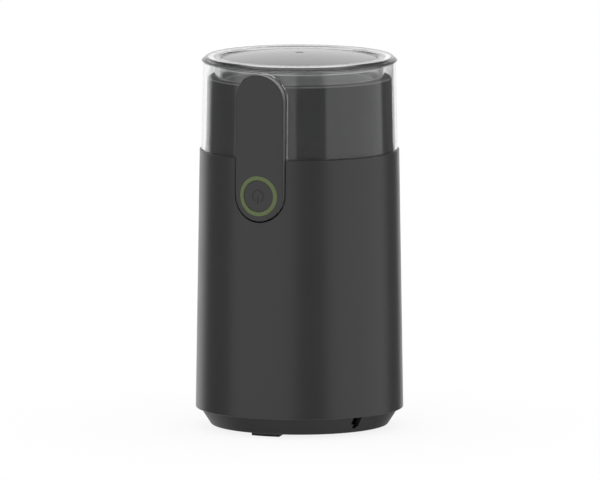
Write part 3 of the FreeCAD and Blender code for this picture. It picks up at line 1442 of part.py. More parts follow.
def make_brush_gear(side, bearing):
    """A carbon brush and its brass tube, drawn towards +X and turned to its side."""
    tube = new_body(f"brush_holder_{side}")
    low, high = "brush_level - tube_half_height", "brush_level + tube_half_height"
    extruded(tube, f"tube_{side}",
             lambda s: box_outline(s, "-tube_half_width", low, "tube_half_width", high),
             "YZ_Plane", "brush_tube_length", offset="brush_tube_start")
    extruded(tube, f"tube_bore_{side}",
             lambda s: box_outline(s, "-(tube_half_width - brush_tube_wall)",
                                   f"{low} + brush_tube_wall",
                                   "tube_half_width - brush_tube_wall",
                                   f"{high} - brush_tube_wall"),
             "YZ_Plane", "brush_tube_length", offset="brush_tube_start - brush_tube_wall * 2",
             cut=True)
    at_bearing(tube, bearing)
    brush = new_body(f"brush_{side}")
    extruded(brush, f"carbon_{side}",
             lambda s: box_outline(s, "-brush_width / 2", "brush_level - brush_height / 2",
                                   "brush_width / 2", "brush_level + brush_height / 2"),
             "YZ_Plane", "brush_length", offset="brush_front")
    at_bearing(brush, bearing)


def make_electrics():
    block = new_body("terminal_block")
    extruded(block, "block_case",
             lambda s: box_outline(s, "-terminal_length / 2",
                                   "-terminal_circle - terminal_width / 2",
                                   "terminal_length / 2",
                                   "-terminal_circle + terminal_width / 2"),
             "XY_Plane", "terminal_height", offset="base_floor_top")
    for number, sign in enumerate(("-", "")):
        extruded(block, f"block_screw_{number}",
                 lambda s, k=sign: circle(s, f"{k}terminal_screw_spacing / 2",
                                          "-terminal_circle", "terminal_screw_radius"),
                 "XY_Plane", "terminal_screw_depth * 2",
                 offset="base_floor_top + terminal_height - terminal_screw_depth", cut=True)
    at_bearing(block, "notch_bearing")
    capacitor = new_body("suppression_capacitor")
    extruded(capacitor, "capacitor_case",
             lambda s: box_outline(s, "-capacitor_length / 2",
                                   "capacitor_circle - capacitor_width / 2",
                                   "capacitor_length / 2",
                                   "capacitor_circle + capacitor_width / 2"),
             "XY_Plane", "capacitor_height", offset="base_floor_top")
    doc.recompute()
    upright = [f"Edge{number}" for number, edge in enumerate(capacitor.Tip.Shape.Edges, 1)
               if edge.BoundBox.ZLength > size("capacitor_height") - 1e-4]
    rounded(capacitor, "capacitor_corners", [], "capacitor_rounding", names=upright)
    cutout = new_body("thermal_cutout")
    extruded(cutout, "cutout_case",
             lambda s: circle(s, "yoke_inner_radius - coil_clearance + cutout_radius + cutout_gap",
                              "stator_top + coil_end / 2", "cutout_radius"),
             "XZ_Plane", "cutout_length", both_ways=True)


def arc_leaving(begin, way, finish):
    """The arc between two points that leaves the first one in the given direction."""
    line = finish - begin
    across = way - line * (way.dot(line) / line.dot(line))
    across.normalize()
    top = (begin + finish) * 0.5 + across * (line.Length / 2 * math.tan(way.getAngle(line) / 2))
    return Part.Arc(begin, top, finish).toShape()


def arc_arriving(begin, way, finish):
    """The arc between two points that arrives at the second one in the given direction."""
    line = finish - begin
    across = line * (way.dot(line) / line.dot(line)) - way
    across.normalize()
    top = (begin + finish) * 0.5 + across * (line.Length / 2 * math.tan(way.getAngle(line) / 2))
    return Part.Arc(begin, top, finish).toShape()


def half_turn(start, start_way, end, end_way):
    """Two arcs from one point and direction to another, smooth where they meet."""
    chord, ways = end - start, start_way + end_way
    spread = 2 * (1 - start_way.dot(end_way))
    along = chord.dot(ways)
    reach = (math.sqrt(along ** 2 + spread * chord.dot(chord)) - along) / spread
    middle = (start + end + (start_way - end_way) * reach) * 0.5
    return [arc_leaving(start, start_way, middle), arc_arriving(middle, end_way, end)]


def coil_spring(label, radius, wire, turns, length, place):
    """A compression spring as one unbroken wire, wound along +Z and then placed."""
    radius, wire, turns = size(radius), size(wire), int(size(turns))
    rise = (size(length) - wire) / (2 * turns)
    slope = rise / math.pi
    points, ways = [], []
    for step in range(2 * turns + 1):
        sign = 1 if step % 2 == 0 else -1
        points.append(Vector(sign * radius, 0, wire / 2 + step * rise))
        way = Vector(0, sign * radius, slope)
        way.normalize()
        ways.append(way)
    edges = []
    for step in range(2 * turns):
        edges += half_turn(points[step], ways[step], points[step + 1], ways[step + 1])
    ring = Part.Wire([Part.Circle(points[0], ways[0], wire / 2).toShape()])
    shell = Part.BRepOffsetAPI.MakePipeShell(Part.Wire(edges))
    shell.add(ring)
    shell.build()
    shell.makeSolid()
    spring = doc.addObject("Part::Feature", label)
    spring.Label = label
    spring.Shape = shell.shape()
    spring.Placement = place
    print(f"{label}: gap between turns {2 * rise - wire:.2f} mm")
    pieces[label] = spring


def make_springs():
    towards_front = Rotation(Vector(1, 0, 0), 90)
    coil_spring("button_spring", "button_spring_radius", "button_spring_wire",
                "button_spring_turns", "button_cap_back - plate_front - spring_gap * 2",
                Placement(Vector(0, -size("plate_front + spring_gap"), size("button_level")),
                          towards_front))
    coil_spring("interlock_spring", "rod_spring_radius", "rod_spring_wire",
                "rod_spring_turns", "rod_spring_length - spring_gap * 2",
                Placement(Vector(0, size("rod_offset"), size("guide_top + spring_gap")),
                          Rotation()))
    for side, angle in (("right", 90), ("left", -90)):
        way = 1 if side == "right" else -1
        coil_spring(f"brush_spring_{side}", "brush_spring_radius", "brush_spring_wire",
                    "brush_spring_turns",
                    "brush_tube_end - brush_tube_wall * 2 - brush_back - spring_gap * 2",
                    Placement(Vector(way * size("brush_back + spring_gap"), 0,
                                     size("brush_level")), Rotation(Vector(0, 1, 0), angle)))


def lead(label, route):
    """An insulated wire of straight runs joined by tangent arcs."""
    points = [Vector(*(size(member) for member in place)) for place in route]
    radius, bend = size("lead_radius"), size("lead_bend")
    edges = []
    start = points[0]
    for before, corner, after in zip(points, points[1:], points[2:]):
        back, forward = before - corner, after - corner
        half = math.pi / 2 - back.getAngle(forward) / 2
        reach = min(bend * math.tan(half), 0.45 * min(back.Length, forward.Length))
        back.normalize()
        forward.normalize()
        first, last = corner + back * reach, corner + forward * reach
        inward = back + forward
        inward.normalize()
        around = reach / math.tan(half)
        top = corner + inward * (around / math.cos(half) - around)
        edges.append(Part.LineSegment(start, first).toShape())
        edges.append(Part.Arc(first, top, last).toShape())
        start = last
    edges.append(Part.LineSegment(start, points[-1]).toShape())
    way = points[1] - points[0]
    ring = Part.Wire([Part.Circle(points[0], way, radius).toShape()])
    shell = Part.BRepOffsetAPI.MakePipeShell(Part.Wire(edges))
    shell.add(ring)
    shell.build()
    shell.makeSolid()
    wire = doc.addObject("Part::Feature", label)
    wire.Label = label
    wire.Shape = shell.shape()
    length = sum(edge.Length for edge in edges)
    section = math.pi * radius ** 2
    print(f"{label}: {length:.0f} mm long, volume over section and length "
          f"{wire.Shape.Volume / section / length:.4f}")
    pieces[label] = wire


def make_leads():
    """The wires between the terminal block, the two switches, the cut-out and a brush."""
    half = "terminal_screw_spacing / 2"
    across, along = "cos(notch_bearing)", "sin(notch_bearing)"
    block_top = "base_floor_top + terminal_height + lead_gap"
    right = (f"terminal_circle * {along} + {half} * {across}",
             f"{half} * {along} - terminal_circle * {across}")
    left = (f"terminal_circle * {along} - {half} * {across}",
            f"-{half} * {along} - terminal_circle * {across}")
    tab_under = "button_level - switch_height / 2 + plunger_radius * 2 - lead_gap"
    tab_back = "-(switch_face - switch_depth - switch_tab_reach / 2)"
    lead("supply_lead", [
        (*left, block_top), (*left, "lead_level"), ("switch_width / 3", tab_back, "lead_level"),
        ("switch_width / 3", tab_back, tab_under)])
    side = "interlock_width / 2 + lead_gap"
    high = "shelf_top + interlock_height / 2"
    lead("switch_link_lead", [
        ("-switch_width / 3", tab_back, tab_under), ("-switch_width / 3", tab_back, "lead_level"),
        (*round_place("lead_circle", "link_lead_bearing"), "lead_level"),
        (*round_place("lead_circle", "link_lead_bearing - 60"), "lead_level"),
        (*round_place("lead_circle", "link_lead_bearing - 95"), "lead_level"),
        (f"-({side}) * 2", "interlock_offset", high), (f"-({side})", "interlock_offset", high)])
    cutout_across = "yoke_inner_radius - coil_clearance + cutout_radius + cutout_gap"
    cutout_level = "stator_top + coil_end / 2"
    lead("motor_lead", [
        (side, "interlock_offset", high), (f"({side}) * 2", "interlock_offset", high),
        (*round_place("lead_circle", "motor_lead_bearing"), "lead_level"),
        (*round_place("lead_circle", "motor_lead_bearing - 20"), "bracket_under"),
        (cutout_across, "cutout_length * 1.5", cutout_level),
        (cutout_across, "cutout_length / 2 + lead_gap", cutout_level)])
    lead("brush_lead", [
        (*right, block_top), (*right, "brush_level"),
        ("brush_tube_end + lead_bend * 1.6", "0", "brush_level"),
        ("brush_tube_end + lead_gap", "0", "brush_level")])


def make_everything():
    make_base_cover()
    for number, label in enumerate(("foot_front", "foot_rear_right", "foot_rear_left")):
        make_foot(label, f"360 / base_screw_count * {number}")
    make_base_screws()
    make_body_shell()
    make_collar()
    make_bowl()
    make_bowl_fittings()
    make_blade()
    make_blade_fittings()
    make_front_panel()
    make_button_ring()
    make_power_button()
    make_pulse_switch()
    make_switch_bracket()
    make_lid()
    make_interlock()
    make_mount_hardware()
    make_upper_bracket()
    make_lower_bracket()
    make_motor_bolts()
    make_bearings()
    make_stator()
    make_field_coil("field_coil_right", "0")
    make_field_coil("field_coil_left", "180")
    make_armature()
    make_shaft()
    make_fan()
    make_brush_gear("right", "0")
    make_brush_gear("left", "180")
    make_electrics()
    make_springs()
    make_leads()


def check_document():
    """Stops if any object failed, or a piece's shape is empty or broken."""
    faults = [f"{thing.Label} is {thing.State}" for thing in doc.Objects
              if "Invalid" in thing.State or "Error" in thing.State]
    faults += [f"{label} has no valid shape" for label, piece in pieces.items()
               if piece.Shape.isNull() or not piece.Shape.isValid()]
    if faults:
        raise RuntimeError("; ".join(faults))


def write_pieces():
    os.makedirs("parts", exist_ok=True)
    for label, piece in pieces.items():
        piece.Shape.exportStep(f"parts/{label}.step")
    print(f"{len(pieces)} pieces written")


fill_sheet()
make_everything()
doc.recompute()
check_document()
write_pieces()
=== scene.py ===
"""Looks of the electric spice grinder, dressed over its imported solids.

Sizes and outlines are in millimetres and become metres when a mesh is made. The materials work
in metres. +Z is up, the front faces -Y, and bearings count from the front towards +X.
"""

import json
import math

import bmesh
import bpy
from mathutils import Matrix, Vector


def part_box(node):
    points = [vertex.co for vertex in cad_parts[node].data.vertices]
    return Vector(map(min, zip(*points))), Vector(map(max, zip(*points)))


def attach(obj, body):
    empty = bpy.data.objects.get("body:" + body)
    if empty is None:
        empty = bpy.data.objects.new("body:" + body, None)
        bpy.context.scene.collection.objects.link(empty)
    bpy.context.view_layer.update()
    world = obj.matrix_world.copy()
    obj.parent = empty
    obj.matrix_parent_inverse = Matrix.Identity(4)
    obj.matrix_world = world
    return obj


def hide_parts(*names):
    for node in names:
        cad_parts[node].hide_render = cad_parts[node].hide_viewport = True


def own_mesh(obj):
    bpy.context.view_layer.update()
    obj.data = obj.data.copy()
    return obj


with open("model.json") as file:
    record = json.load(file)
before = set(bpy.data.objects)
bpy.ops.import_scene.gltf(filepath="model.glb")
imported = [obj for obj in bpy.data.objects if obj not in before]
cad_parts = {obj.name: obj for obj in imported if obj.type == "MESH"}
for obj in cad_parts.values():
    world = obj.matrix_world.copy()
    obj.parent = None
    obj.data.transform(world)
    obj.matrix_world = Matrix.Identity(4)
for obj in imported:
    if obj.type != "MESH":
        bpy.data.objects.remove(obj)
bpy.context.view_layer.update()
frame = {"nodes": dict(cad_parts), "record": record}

MM = 0.001

# How finely curves are divided.
TURN_STEPS = 360
ARC_STEPS = 8
STADIUM_STEPS = 48
HOLE_STEPS = 96
DOME_STEPS = 24
PANEL_RINGS = 16

# A point this far beyond each end of an arc keeps the straight run next to it flat.
FLAT_GUARD = 0.04
# A point nearer to the Z axis than this is on it.
AXIS_REACH = 1e-6
# Edges that bend by more degrees than this stay crisp.
CREASE_ANGLE = 32

# Levels read from the frame.
BODY_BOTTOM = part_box("body_shell")[0][2] / MM
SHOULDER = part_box("body_shell")[1][2] / MM
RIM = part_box("collar")[1][2] / MM
PANEL_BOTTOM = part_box("front_panel")[0][2] / MM
PANEL_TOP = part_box("front_panel")[1][2] / MM
PANEL_HALF_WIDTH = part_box("front_panel")[1][0] / MM
BUTTON_LEVEL = (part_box("power_button")[0][2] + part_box("power_button")[1][2]) / 2 / MM
LID_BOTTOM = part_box("lid_cover")[0][2] / MM
LID_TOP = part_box("lid_cover")[1][2] / MM
DISC_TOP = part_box("lid_disc")[1][2] / MM

# Body. Its skin stays a hair inside the solid's widest edge.
SKIN_INSET = 0.02
BODY_BOTTOM_RADIUS = 50.0 - SKIN_INSET
BODY_TOP_RADIUS = 48.0
BODY_WALL = 2.2
BODY_MOUTH_RADIUS = 44.2
BODY_LEDGE_RADIUS = 45.8
BODY_LEDGE_DEPTH = 2.0
BODY_ROUNDING = 0.3
SHOULDER_ROUNDING = 0.4

# Front panel.
PANEL_FACE_RADIUS = 49.2
PANEL_BACK_RADIUS = 45.3
PANEL_ROUNDING = 0.45
PANEL_GAP = 0.75
RING_HOLE_RADIUS = 9.75

# Cutters, which start in front of the grinder. A slot runs on past the edge that it opens.
CUTTER_FRONT = -60.0
BODY_SLOT_BACK = -42.0
LID_SLOT_BACK = -41.5
RING_HOLE_BACK = -30.0
SLOT_OVERRUN = 40.0

# Lid. Depths are below its top.
LID_FOOT_RADIUS = 47.25
LID_NECK_RADIUS = 46.25
LID_WALL = 1.7
LID_ROOF_DEPTH = 2.2
LID_ROUNDING = 0.3
LIP_TOP_RADIUS = 44.6
LIP_BEVEL_RADIUS = 45.3
LIP_BEVEL_DEPTH = 0.3
LIP_RADIUS = 47.26
LIP_EDGE_DEPTH = 2.0
LIP_UNDER_DEPTH = 2.6
SKIRT_RADIUS = 40.7
SKIRT_WALL = 2.2
SKIRT_CLEARANCE = 0.3
SKIRT_END_ROUNDING = 0.1
NECK_FILLET = 0.8
SKIRT_FILLET = 0.6
PLATE_FILLET = 0.8
PLATE_TOP = LID_TOP - 2.0
PLATE_UNDER = LID_TOP - 4.0

# Disc in the lid's top, and the recess round it.
DISC_RADIUS = 37.4
DISC_EDGE_TOP = LID_TOP - 1.0
DISC_EDGE_INSET = 0.25
DISC_EDGE_DROP = 0.15
DISC_CLEARANCE = 0.15
RECESS_RADIUS = 39.2
RECESS_DEPTH = 1.0
RECESS_ROUNDING = 0.1
RECESS_FILLET = 0.2
DIMPLE_RADIUS = 2.1
DIMPLE_FLOOR_RADIUS = 1.8
DIMPLE_DEPTH = 0.2
DIMPLE_EDGE_DROP = 0.01
DIMPLE_ROUNDING = 0.1
# The dome's own points stop this far outside the dimple.
DIMPLE_MARGIN = 0.3

# Each spring's node, joint, axis (0 for X), fixed end (1 for the higher one) and travel.
PRESSED_SPRINGS = (
    ("button_spring", "button_press", 1, 1, 1.5),
    ("brush_spring_right", "right_brush_slide", 0, 1, 2.5),
    ("brush_spring_left", "left_brush_slide", 0, 0, 2.5),
)

# Looks of the body, the panel, the collar and the lid.
BODY_COLOUR = (0.028, 0.028, 0.028)
BODY_ROUGHNESS = 0.30
BODY_IOR = 1.57
COLLAR_COLOURS = ((0.055, 0.055, 0.055), (0.059, 0.059, 0.059))
COLLAR_ROUGHNESS = (0.48, 0.54)
COLLAR_SPECULAR = 0.25
CLEAR_COLOUR = (0.985, 0.99, 0.99)
CLEAR_IOR = 1.49
PLASTIC_IOR = 1.5
SATIN_TINTS = ((0.70, 0.70, 0.70), (0.80, 0.80, 0.80))
SATIN_ROUGHNESS = (0.45, 0.6)
SATIN_METALLIC = 0.5

# Painted highlight: the collar's rim is painted paler in a band this wide and deep at its edge,
# where light catches it.
RIM_RADIUS = 44.3
RIM_PAINTED_HIGHLIGHT = (0.22, 0.22, 0.22)
RIM_HIGHLIGHT_WIDTH = 0.9
RIM_HIGHLIGHT_DEPTH = 0.55

# Painted highlight: the panel's edge, this far behind its face, is painted paler towards the
# panel's top, where light catches it.
PANEL_EDGE_HIGHLIGHT = ((0.12, 0.12, 0.12), (0.40, 0.40, 0.40))
PANEL_HIGHLIGHT_DEPTH = 0.4
PANEL_HIGHLIGHT_FADE = 1.0

# The lid is a little milky within its skirt's radius and below a depth, and its lip has painted
# shade:
# a dark tint in a band this wide and deep.
SKIRT_HAZE = 0.11
SKIRT_HAZE_MARGIN = 0.3
SKIRT_HAZE_DEPTH = 2.4
LIP_PAINTED_SHADE = (0.13, 0.13, 0.13)
LIP_SHADE_WIDTH = 1.9
LIP_SHADE_DEPTH = 1.85

# Noise: waves to the metre, and the range that most of it keeps within.
DRIFT_SCALE = 45.0
GRAIN_SCALE = 2200.0
PANEL_GRAIN_SCALE = 3500.0
LINES_SCALE = 900.0
SPECKLE_SCALE = 3000.0
WAVE_SCALE = 60.0
PAPER_SCALE = 2.0
NOISE_RANGE = (0.3, 0.7)

# How much more finely the lines on metal follow each other along each axis.
ROUND_LINES = (1.0, 1.0, 40.0)
BLADE_LINES = (40.0, 1.0, 1.0)
LAMINATIONS = (1.0, 1.0, 80.0)
WIRE_TURNS = (1.0, 1.0, 60.0)

# Depths of relief and radii of softened edges, in metres.
GRAIN_DEPTH = 4e-6
FINE_GRAIN_DEPTH = 2e-6
GLOSSY_GRAIN_DEPTH = 1e-6
LINES_DEPTH = 2e-6
LAMINATION_DEPTH = 2e-5
WIRE_DEPTH = 4e-5
SPECKLE_DEPTH = 1.2e-5
WAVE_DEPTH = 4e-7
PLASTIC_EDGE = 0.00025
METAL_EDGE = 0.0002
RUBBER_EDGE = 0.0003
EDGE_SAMPLES = 4

# Least and most of what varies, as shares of the colour or roughness given.
PLASTIC_TINTS = (0.96, 1.04)
PLASTIC_GLOSS = (0.94, 1.06)
METAL_TINTS = (0.88, 1.06)
METAL_GLOSS = (0.8, 1.2)
RUBBER_TINTS = (0.8, 1.3)

# Rubber's least and most roughness.
RUBBER_ROUGHNESS = (0.62, 0.8)

# A Mix node's sockets for numbers and for colours: first, second and result.
MIX_SOCKETS = {"FLOAT": (2, 3, 0), "RGBA": (6, 7, 2)}

# View of the photograph. Places are in metres.
VIEW_BEARING = math.radians(24.0)
VIEW_ELEVATION = math.radians(7.6)
VIEW_DISTANCE = 10.0
VIEW_END = 200.0
PIXELS_PER_METRE = 2078.0
IMAGE_WIDTH = 600
AIM_LEVEL = 0.0901
AIM_RIGHT = 0.00024

# What shines sees this studio: two broad lights and a backdrop behind the grinder, under a
# dim ceiling that takes over between two sines of the elevation. Bearings are in degrees from
# the photograph's camera, and a brightness of 1 is white.
LEFT_LIGHT = (-84.0, -4.0)
RIGHT_LIGHT = (31.5, 116.0)
LIGHT_SOFTNESS = 5.0
LEFT_GLOW = 0.48
RIGHT_GLOW = 0.58
ROOM_GLOW = 0.1
BACKDROP_LEFT = (-141.0, -128.0)
BACKDROP_RIGHT = (146.0, 162.0)
BACKDROP_GLOW = 0.9
CEILING = (0.35, 0.6)
CEILING_GLOW = 0.2

# What is matt gets this even light instead.
ROOM_LIGHT = 1.1

# A count of bounces above this is at least one bounce.
ANY_BOUNCE = 0.5

# The floor is white paper to the camera, apart from this share of its shadows.
FLOOR_REACH = 60000.0
FLOOR_SHADOW = 0.15
FLOOR_ROUGHNESS = 0.9
PAPER_COLOURS = ((0.945, 0.945, 0.945), (0.95, 0.95, 0.95))
WHITE = (1, 1, 1, 1)


# Meshes


def rounded_outline(corners):
    """The outline's points in order, with each corner (r, z, radius) rounded by an arc."""
    points = []
    for index, (r, z, radius) in enumerate(corners):
        here = Vector((r, z))
        if radius == 0:
            points.append(here)
            continue
        back = (Vector(corners[index - 1][:2]) - here).normalized()
        ahead = (Vector(corners[(index + 1) % len(corners)][:2]) - here).normalized()
        half = back.angle(ahead) / 2
        centre = here + (back + ahead).normalized() * radius / math.sin(half)
        start = here + back * radius / math.tan(half) - centre
        end = here + ahead * radius / math.tan(half) - centre
        sweep = math.atan2(start.cross(end), start.dot(end))
        points.append(centre + start + back * FLAT_GUARD)
        for step in range(ARC_STEPS + 1):
            turn = Matrix.Rotation(sweep * step / ARC_STEPS, 2)
            points.append(centre + turn @ start)
        points.append(centre + end + ahead * FLAT_GUARD)
    return points


def round_steps(steps):
    """The cosine and sine of equal steps round a circle."""
    angles = [2 * math.pi * step / steps for step in range(steps)]
    return [(math.cos(angle), math.sin(angle)) for angle in angles]


def new_piece(name, mesh_maker):
    """An object whose mesh is what mesh_maker puts in an empty bmesh, in millimetres."""
    mesh = bpy.data.meshes.new(name)
    shape = bmesh.new()
    mesh_maker(shape)
    bmesh.ops.scale(shape, vec=(MM, MM, MM), verts=shape.verts)
    bmesh.ops.recalc_face_normals(shape, faces=shape.faces)
    shape.to_mesh(mesh)
    shape.free()
    piece = bpy.data.objects.new(name, mesh)
    bpy.context.scene.collection.objects.link(piece)
    return piece


def bridge(shape, near, far):
    """Faces between two closed rings of points, with triangles where a ring is one point."""
    for index in range(len(near)):
        after = (index + 1) % len(near)
        face = dict.fromkeys((near[index], near[after], far[after], far[index]))
        if len(face) > 2:
            shape.faces.new(list(face))


def turned(name, corners):
    """A closed outline of (r, z, rounding) corners turned about the Z axis."""
    outline = rounded_outline(corners)

    def make(shape):
        rings = []
        for r, z in outline:
            if r < AXIS_REACH:
                rings.append([shape.verts.new((0, 0, z))] * TURN_STEPS)
            else:
                rings.append([shape.verts.new((r * across, r * along, z))
                              for across, along in round_steps(TURN_STEPS)])
        for near, far in zip(rings, rings[1:] + rings[:1]):
            bridge(shape, near, far)

    return new_piece(name, make)


def stadium(half_width, low, high):
    """Points round an upright stadium: each one's centre on the middle line, and its way out."""
    middles = ((0, high - half_width), (0, low + half_width))
    points = []
    for middle, start in zip(middles, (0, math.pi)):
        for step in range(STADIUM_STEPS + 1):
            angle = start + math.pi * step / STADIUM_STEPS
            points.append((Vector(middle), Vector((math.cos(angle), math.sin(angle)))))
    return points


def prism(name, outline, near, far):
    """An outline of (x, z) points drawn out along Y."""
    def make(shape):
        ends = [[shape.verts.new((x, y, z)) for x, z in outline] for y in (near, far)]
        shape.faces.new(ends[0])
        shape.faces.new(ends[1])
        bridge(shape, *ends)

    return new_piece(name, make)


def slot_cutter(name, far, low, high):
    """A stadium as wide as the front panel and the gap on both its sides."""
    half_width = PANEL_HALF_WIDTH + PANEL_GAP
    outline = [middle + way * half_width for middle, way in stadium(half_width, low, high)]
    return prism(name, outline, CUTTER_FRONT, far)


def cut(piece, cutter):
    """Takes the cutter's shape out of the piece, and removes the cutter."""
    modifier = piece.modifiers.new("cut", "BOOLEAN")
    modifier.operation = "DIFFERENCE"
    modifier.solver = "EXACT"
    modifier.object = cutter
    graph = bpy.context.evaluated_depsgraph_get()
    mesh = bpy.data.meshes.new_from_object(piece.evaluated_get(graph))
    piece.modifiers.clear()
    piece.data = mesh
    bpy.data.objects.remove(cutter)


def smooth(piece):
    """Smooth shading, with sharp edges kept crisp."""
    piece.data.shade_smooth()
    piece.data.set_sharp_from_angle(angle=math.radians(CREASE_ANGLE))


# Nodes


class Nodes:
    """Short calls that add nodes to a tree. What feeds a socket is a socket or a value."""

    def __init__(self, tree):
        self.tree = tree

    def add(self, kind, inputs=None, **settings):
        node = self.tree.nodes.new(kind)
        for key, setting in settings.items():
            setattr(node, key, setting)
        for key, source in (inputs or {}).items():
            self.feed(node, key, source)
        return node

    def feed(self, node, key, source):
        if isinstance(source, bpy.types.NodeSocket):
            self.tree.links.new(source, node.inputs[key])
        else:
            node.inputs[key].default_value = source

    def compute(self, operation, first, second=0.0):
        return self.add("ShaderNodeMath", {0: first, 1: second}, operation=operation).outputs[0]

    def mix(self, kind, factor, first, second):
        """The first at a factor of 0, the second at 1. The kind is FLOAT or RGBA."""
        low, high, result = MIX_SOCKETS[kind]
        node = self.add("ShaderNodeMix", {0: factor, low: first, high: second}, data_type=kind)
        return node.outputs[result]

    def step_up(self, value, start, end):
        """0 below start, 1 above end, and a smooth rise between."""
        return self.add("ShaderNodeMapRange",
                        {"Value": value, "From Min": start, "From Max": end},
                        interpolation_type="SMOOTHSTEP").outputs["Result"]


class Shader(Nodes):
    """A material with a Principled surface, worked out from places on the piece itself."""

    def __init__(self, name):
        self.material = bpy.data.materials.new(name)
        self.material.use_nodes = True
        super().__init__(self.material.node_tree)
        self.surface = self.tree.nodes["Principled BSDF"]
        self.place = self.add("ShaderNodeTexCoord").outputs["Object"]

    def set(self, **inputs):
        for key, source in inputs.items():
            self.feed(self.surface, key.replace("_", " "), source)

    def noise(self, scale, detail=3.0, stretch=None):
        place = self.place
        if stretch:
            place = self.add("ShaderNodeMapping", {"Vector": place, "Scale": stretch}).outputs[0]
        inputs = {"Vector": place, "Scale": scale, "Detail": detail}
        return self.add("ShaderNodeTexNoise", inputs).outputs["Fac"]

    def between(self, factor, low, high, start=NOISE_RANGE[0], end=NOISE_RANGE[1]):
        """Low while the factor is under start, high over end, and a straight rise between."""
        inputs = {"Value": factor, "From Min": start, "From Max": end, "To Min": low,
                  "To Max": high}
        return self.add("ShaderNodeMapRange", inputs).outputs["Result"]

    def tint(self, factor, low, high):
        return self.mix("RGBA", factor, (*low, 1), (*high, 1))

    def reach_and_level(self):
        """The distance from the Z axis and the height, in metres."""
        x, y, level = self.add("ShaderNodeSeparateXYZ", {"Vector": self.place}).outputs
        squares = [self.compute("MULTIPLY", side, side) for side in (x, y)]
        return self.compute("SQRT", self.compute("ADD", *squares)), level

    def over(self, length, limit):
        """1 where a length is over a limit in millimetres, and otherwise 0."""
        return self.compute("GREATER_THAN", length, limit * MM)

    def under(self, length, limit):
        """1 where a length is under a limit in millimetres, and otherwise 0."""
        return self.compute("LESS_THAN", length, limit * MM)

    def relief(self, height, depth, edge=0.0):
        """A bump from the height, over edges softened by the given radius."""
        inputs = {"Height": height, "Distance": depth, "Strength": 1.0}
        if edge:
            soft = self.add("ShaderNodeBevel", {"Radius": edge}, samples=EDGE_SAMPLES)
            inputs["Normal"] = soft.outputs[0]
        bump = self.add("ShaderNodeBump", inputs)
        self.feed(self.surface, "Normal", bump.outputs[0])


# Materials


def shades(colour, shares):
    return [tuple(part * share for part in colour) for share in shares]


def spread(roughness, shares):
    return [roughness * share for share in shares]


def moulded(name, tints, roughness, grain=GRAIN_SCALE, depth=GRAIN_DEPTH, ior=PLASTIC_IOR):
    """A shader of plastic with a fine grain and slow drifts, and the socket of its colour."""
    shader = Shader(name)
    drift = shader.noise(DRIFT_SCALE)
    colour = shader.tint(drift, *tints)
    shader.set(Base_Color=colour, Roughness=shader.between(drift, *roughness), IOR=ior)
    shader.relief(shader.noise(grain, detail=2.0), depth, PLASTIC_EDGE)
    return shader, colour


def plastic(name, colour, roughness, **more):
    """Moulded plastic that drifts around one colour and roughness."""
    shader, _ = moulded(name, shades(colour, PLASTIC_TINTS), spread(roughness, PLASTIC_GLOSS),
                        **more)
    return shader.material


def collar_plastic():
    """The body's plastic behind the lid, with less shine of its own and a painted highlight on
    the rim's edge.
    """
    shader, plain = moulded("collar_plastic", COLLAR_COLOURS, COLLAR_ROUGHNESS)
    reach, level = shader.reach_and_level()
    # Painted highlight: the rim's outer edge is painted paler, as if light caught it.
    edge = shader.compute("MULTIPLY", shader.over(level, RIM - RIM_HIGHLIGHT_DEPTH),
                          shader.over(reach, RIM_RADIUS - RIM_HIGHLIGHT_WIDTH))
    shader.set(Base_Color=shader.mix("RGBA", edge, plain, (*RIM_PAINTED_HIGHLIGHT, 1)),
               Specular_IOR_Level=COLLAR_SPECULAR)
    return shader.material


def panel_plastic():
    """The panel's plastic, with a painted highlight on its edge behind the face that grows
    towards the top.
    """
    shader, plain = moulded("panel_plastic_with_painted_highlight", shades(BODY_COLOUR, PLASTIC_TINTS),
                            spread(BODY_ROUGHNESS, PLASTIC_GLOSS), PANEL_GRAIN_SCALE,
                            FINE_GRAIN_DEPTH, BODY_IOR)
    reach, level = shader.reach_and_level()
    # Painted highlight: the edge behind the face is painted paler towards the top.
    behind = shader.under(reach, PANEL_FACE_RADIUS - PANEL_HIGHLIGHT_DEPTH)
    rise = shader.between(level, 0.0, 1.0, (PANEL_TOP - PANEL_HALF_WIDTH) * MM,
                          (PANEL_TOP - PANEL_HIGHLIGHT_FADE) * MM)
    edge = shader.tint(rise, *PANEL_EDGE_HIGHLIGHT)
    shader.set(Base_Color=shader.mix("RGBA", behind, plain, edge))
    return shader.material


def clear_plastic(name):
    """Polished clear plastic with the faintest waviness, a little milky in the skirt, and
    painted shade on its lip.
    """
    shader = Shader(name)
    reach, level = shader.reach_and_level()
    skirt = shader.compute("MULTIPLY", shader.under(reach, SKIRT_RADIUS + SKIRT_HAZE_MARGIN),
                           shader.under(level, LID_TOP - SKIRT_HAZE_DEPTH))
    # Painted shade: the lip's outer band is tinted dark.
    lip_painted_shade = shader.compute("MULTIPLY", shader.over(reach, LIP_RADIUS - LIP_SHADE_WIDTH),
                         shader.over(level, LID_TOP - LIP_SHADE_DEPTH))
    clearness = shader.between(skirt, 1.0, 1.0 - SKIRT_HAZE, 0.0, 1.0)
    shader.set(Base_Color=shader.tint(lip_painted_shade, CLEAR_COLOUR, LIP_PAINTED_SHADE), Roughness=0.0,
               IOR=CLEAR_IOR, Transmission_Weight=clearness)
    shader.relief(shader.noise(WAVE_SCALE, detail=1.0), WAVE_DEPTH)
    return shader.material


def lined_metal(name, tints, roughness, stretch=ROUND_LINES, depth=LINES_DEPTH, metallic=1.0):
    """Metal with fine machining lines along one way."""
    shader = Shader(name)
    lines = shader.noise(LINES_SCALE, detail=4.0, stretch=stretch)
    shader.set(Base_Color=shader.tint(lines, *tints), Metallic=metallic,
               Roughness=shader.between(lines, *roughness))
    shader.relief(lines, depth, METAL_EDGE)
    return shader.material


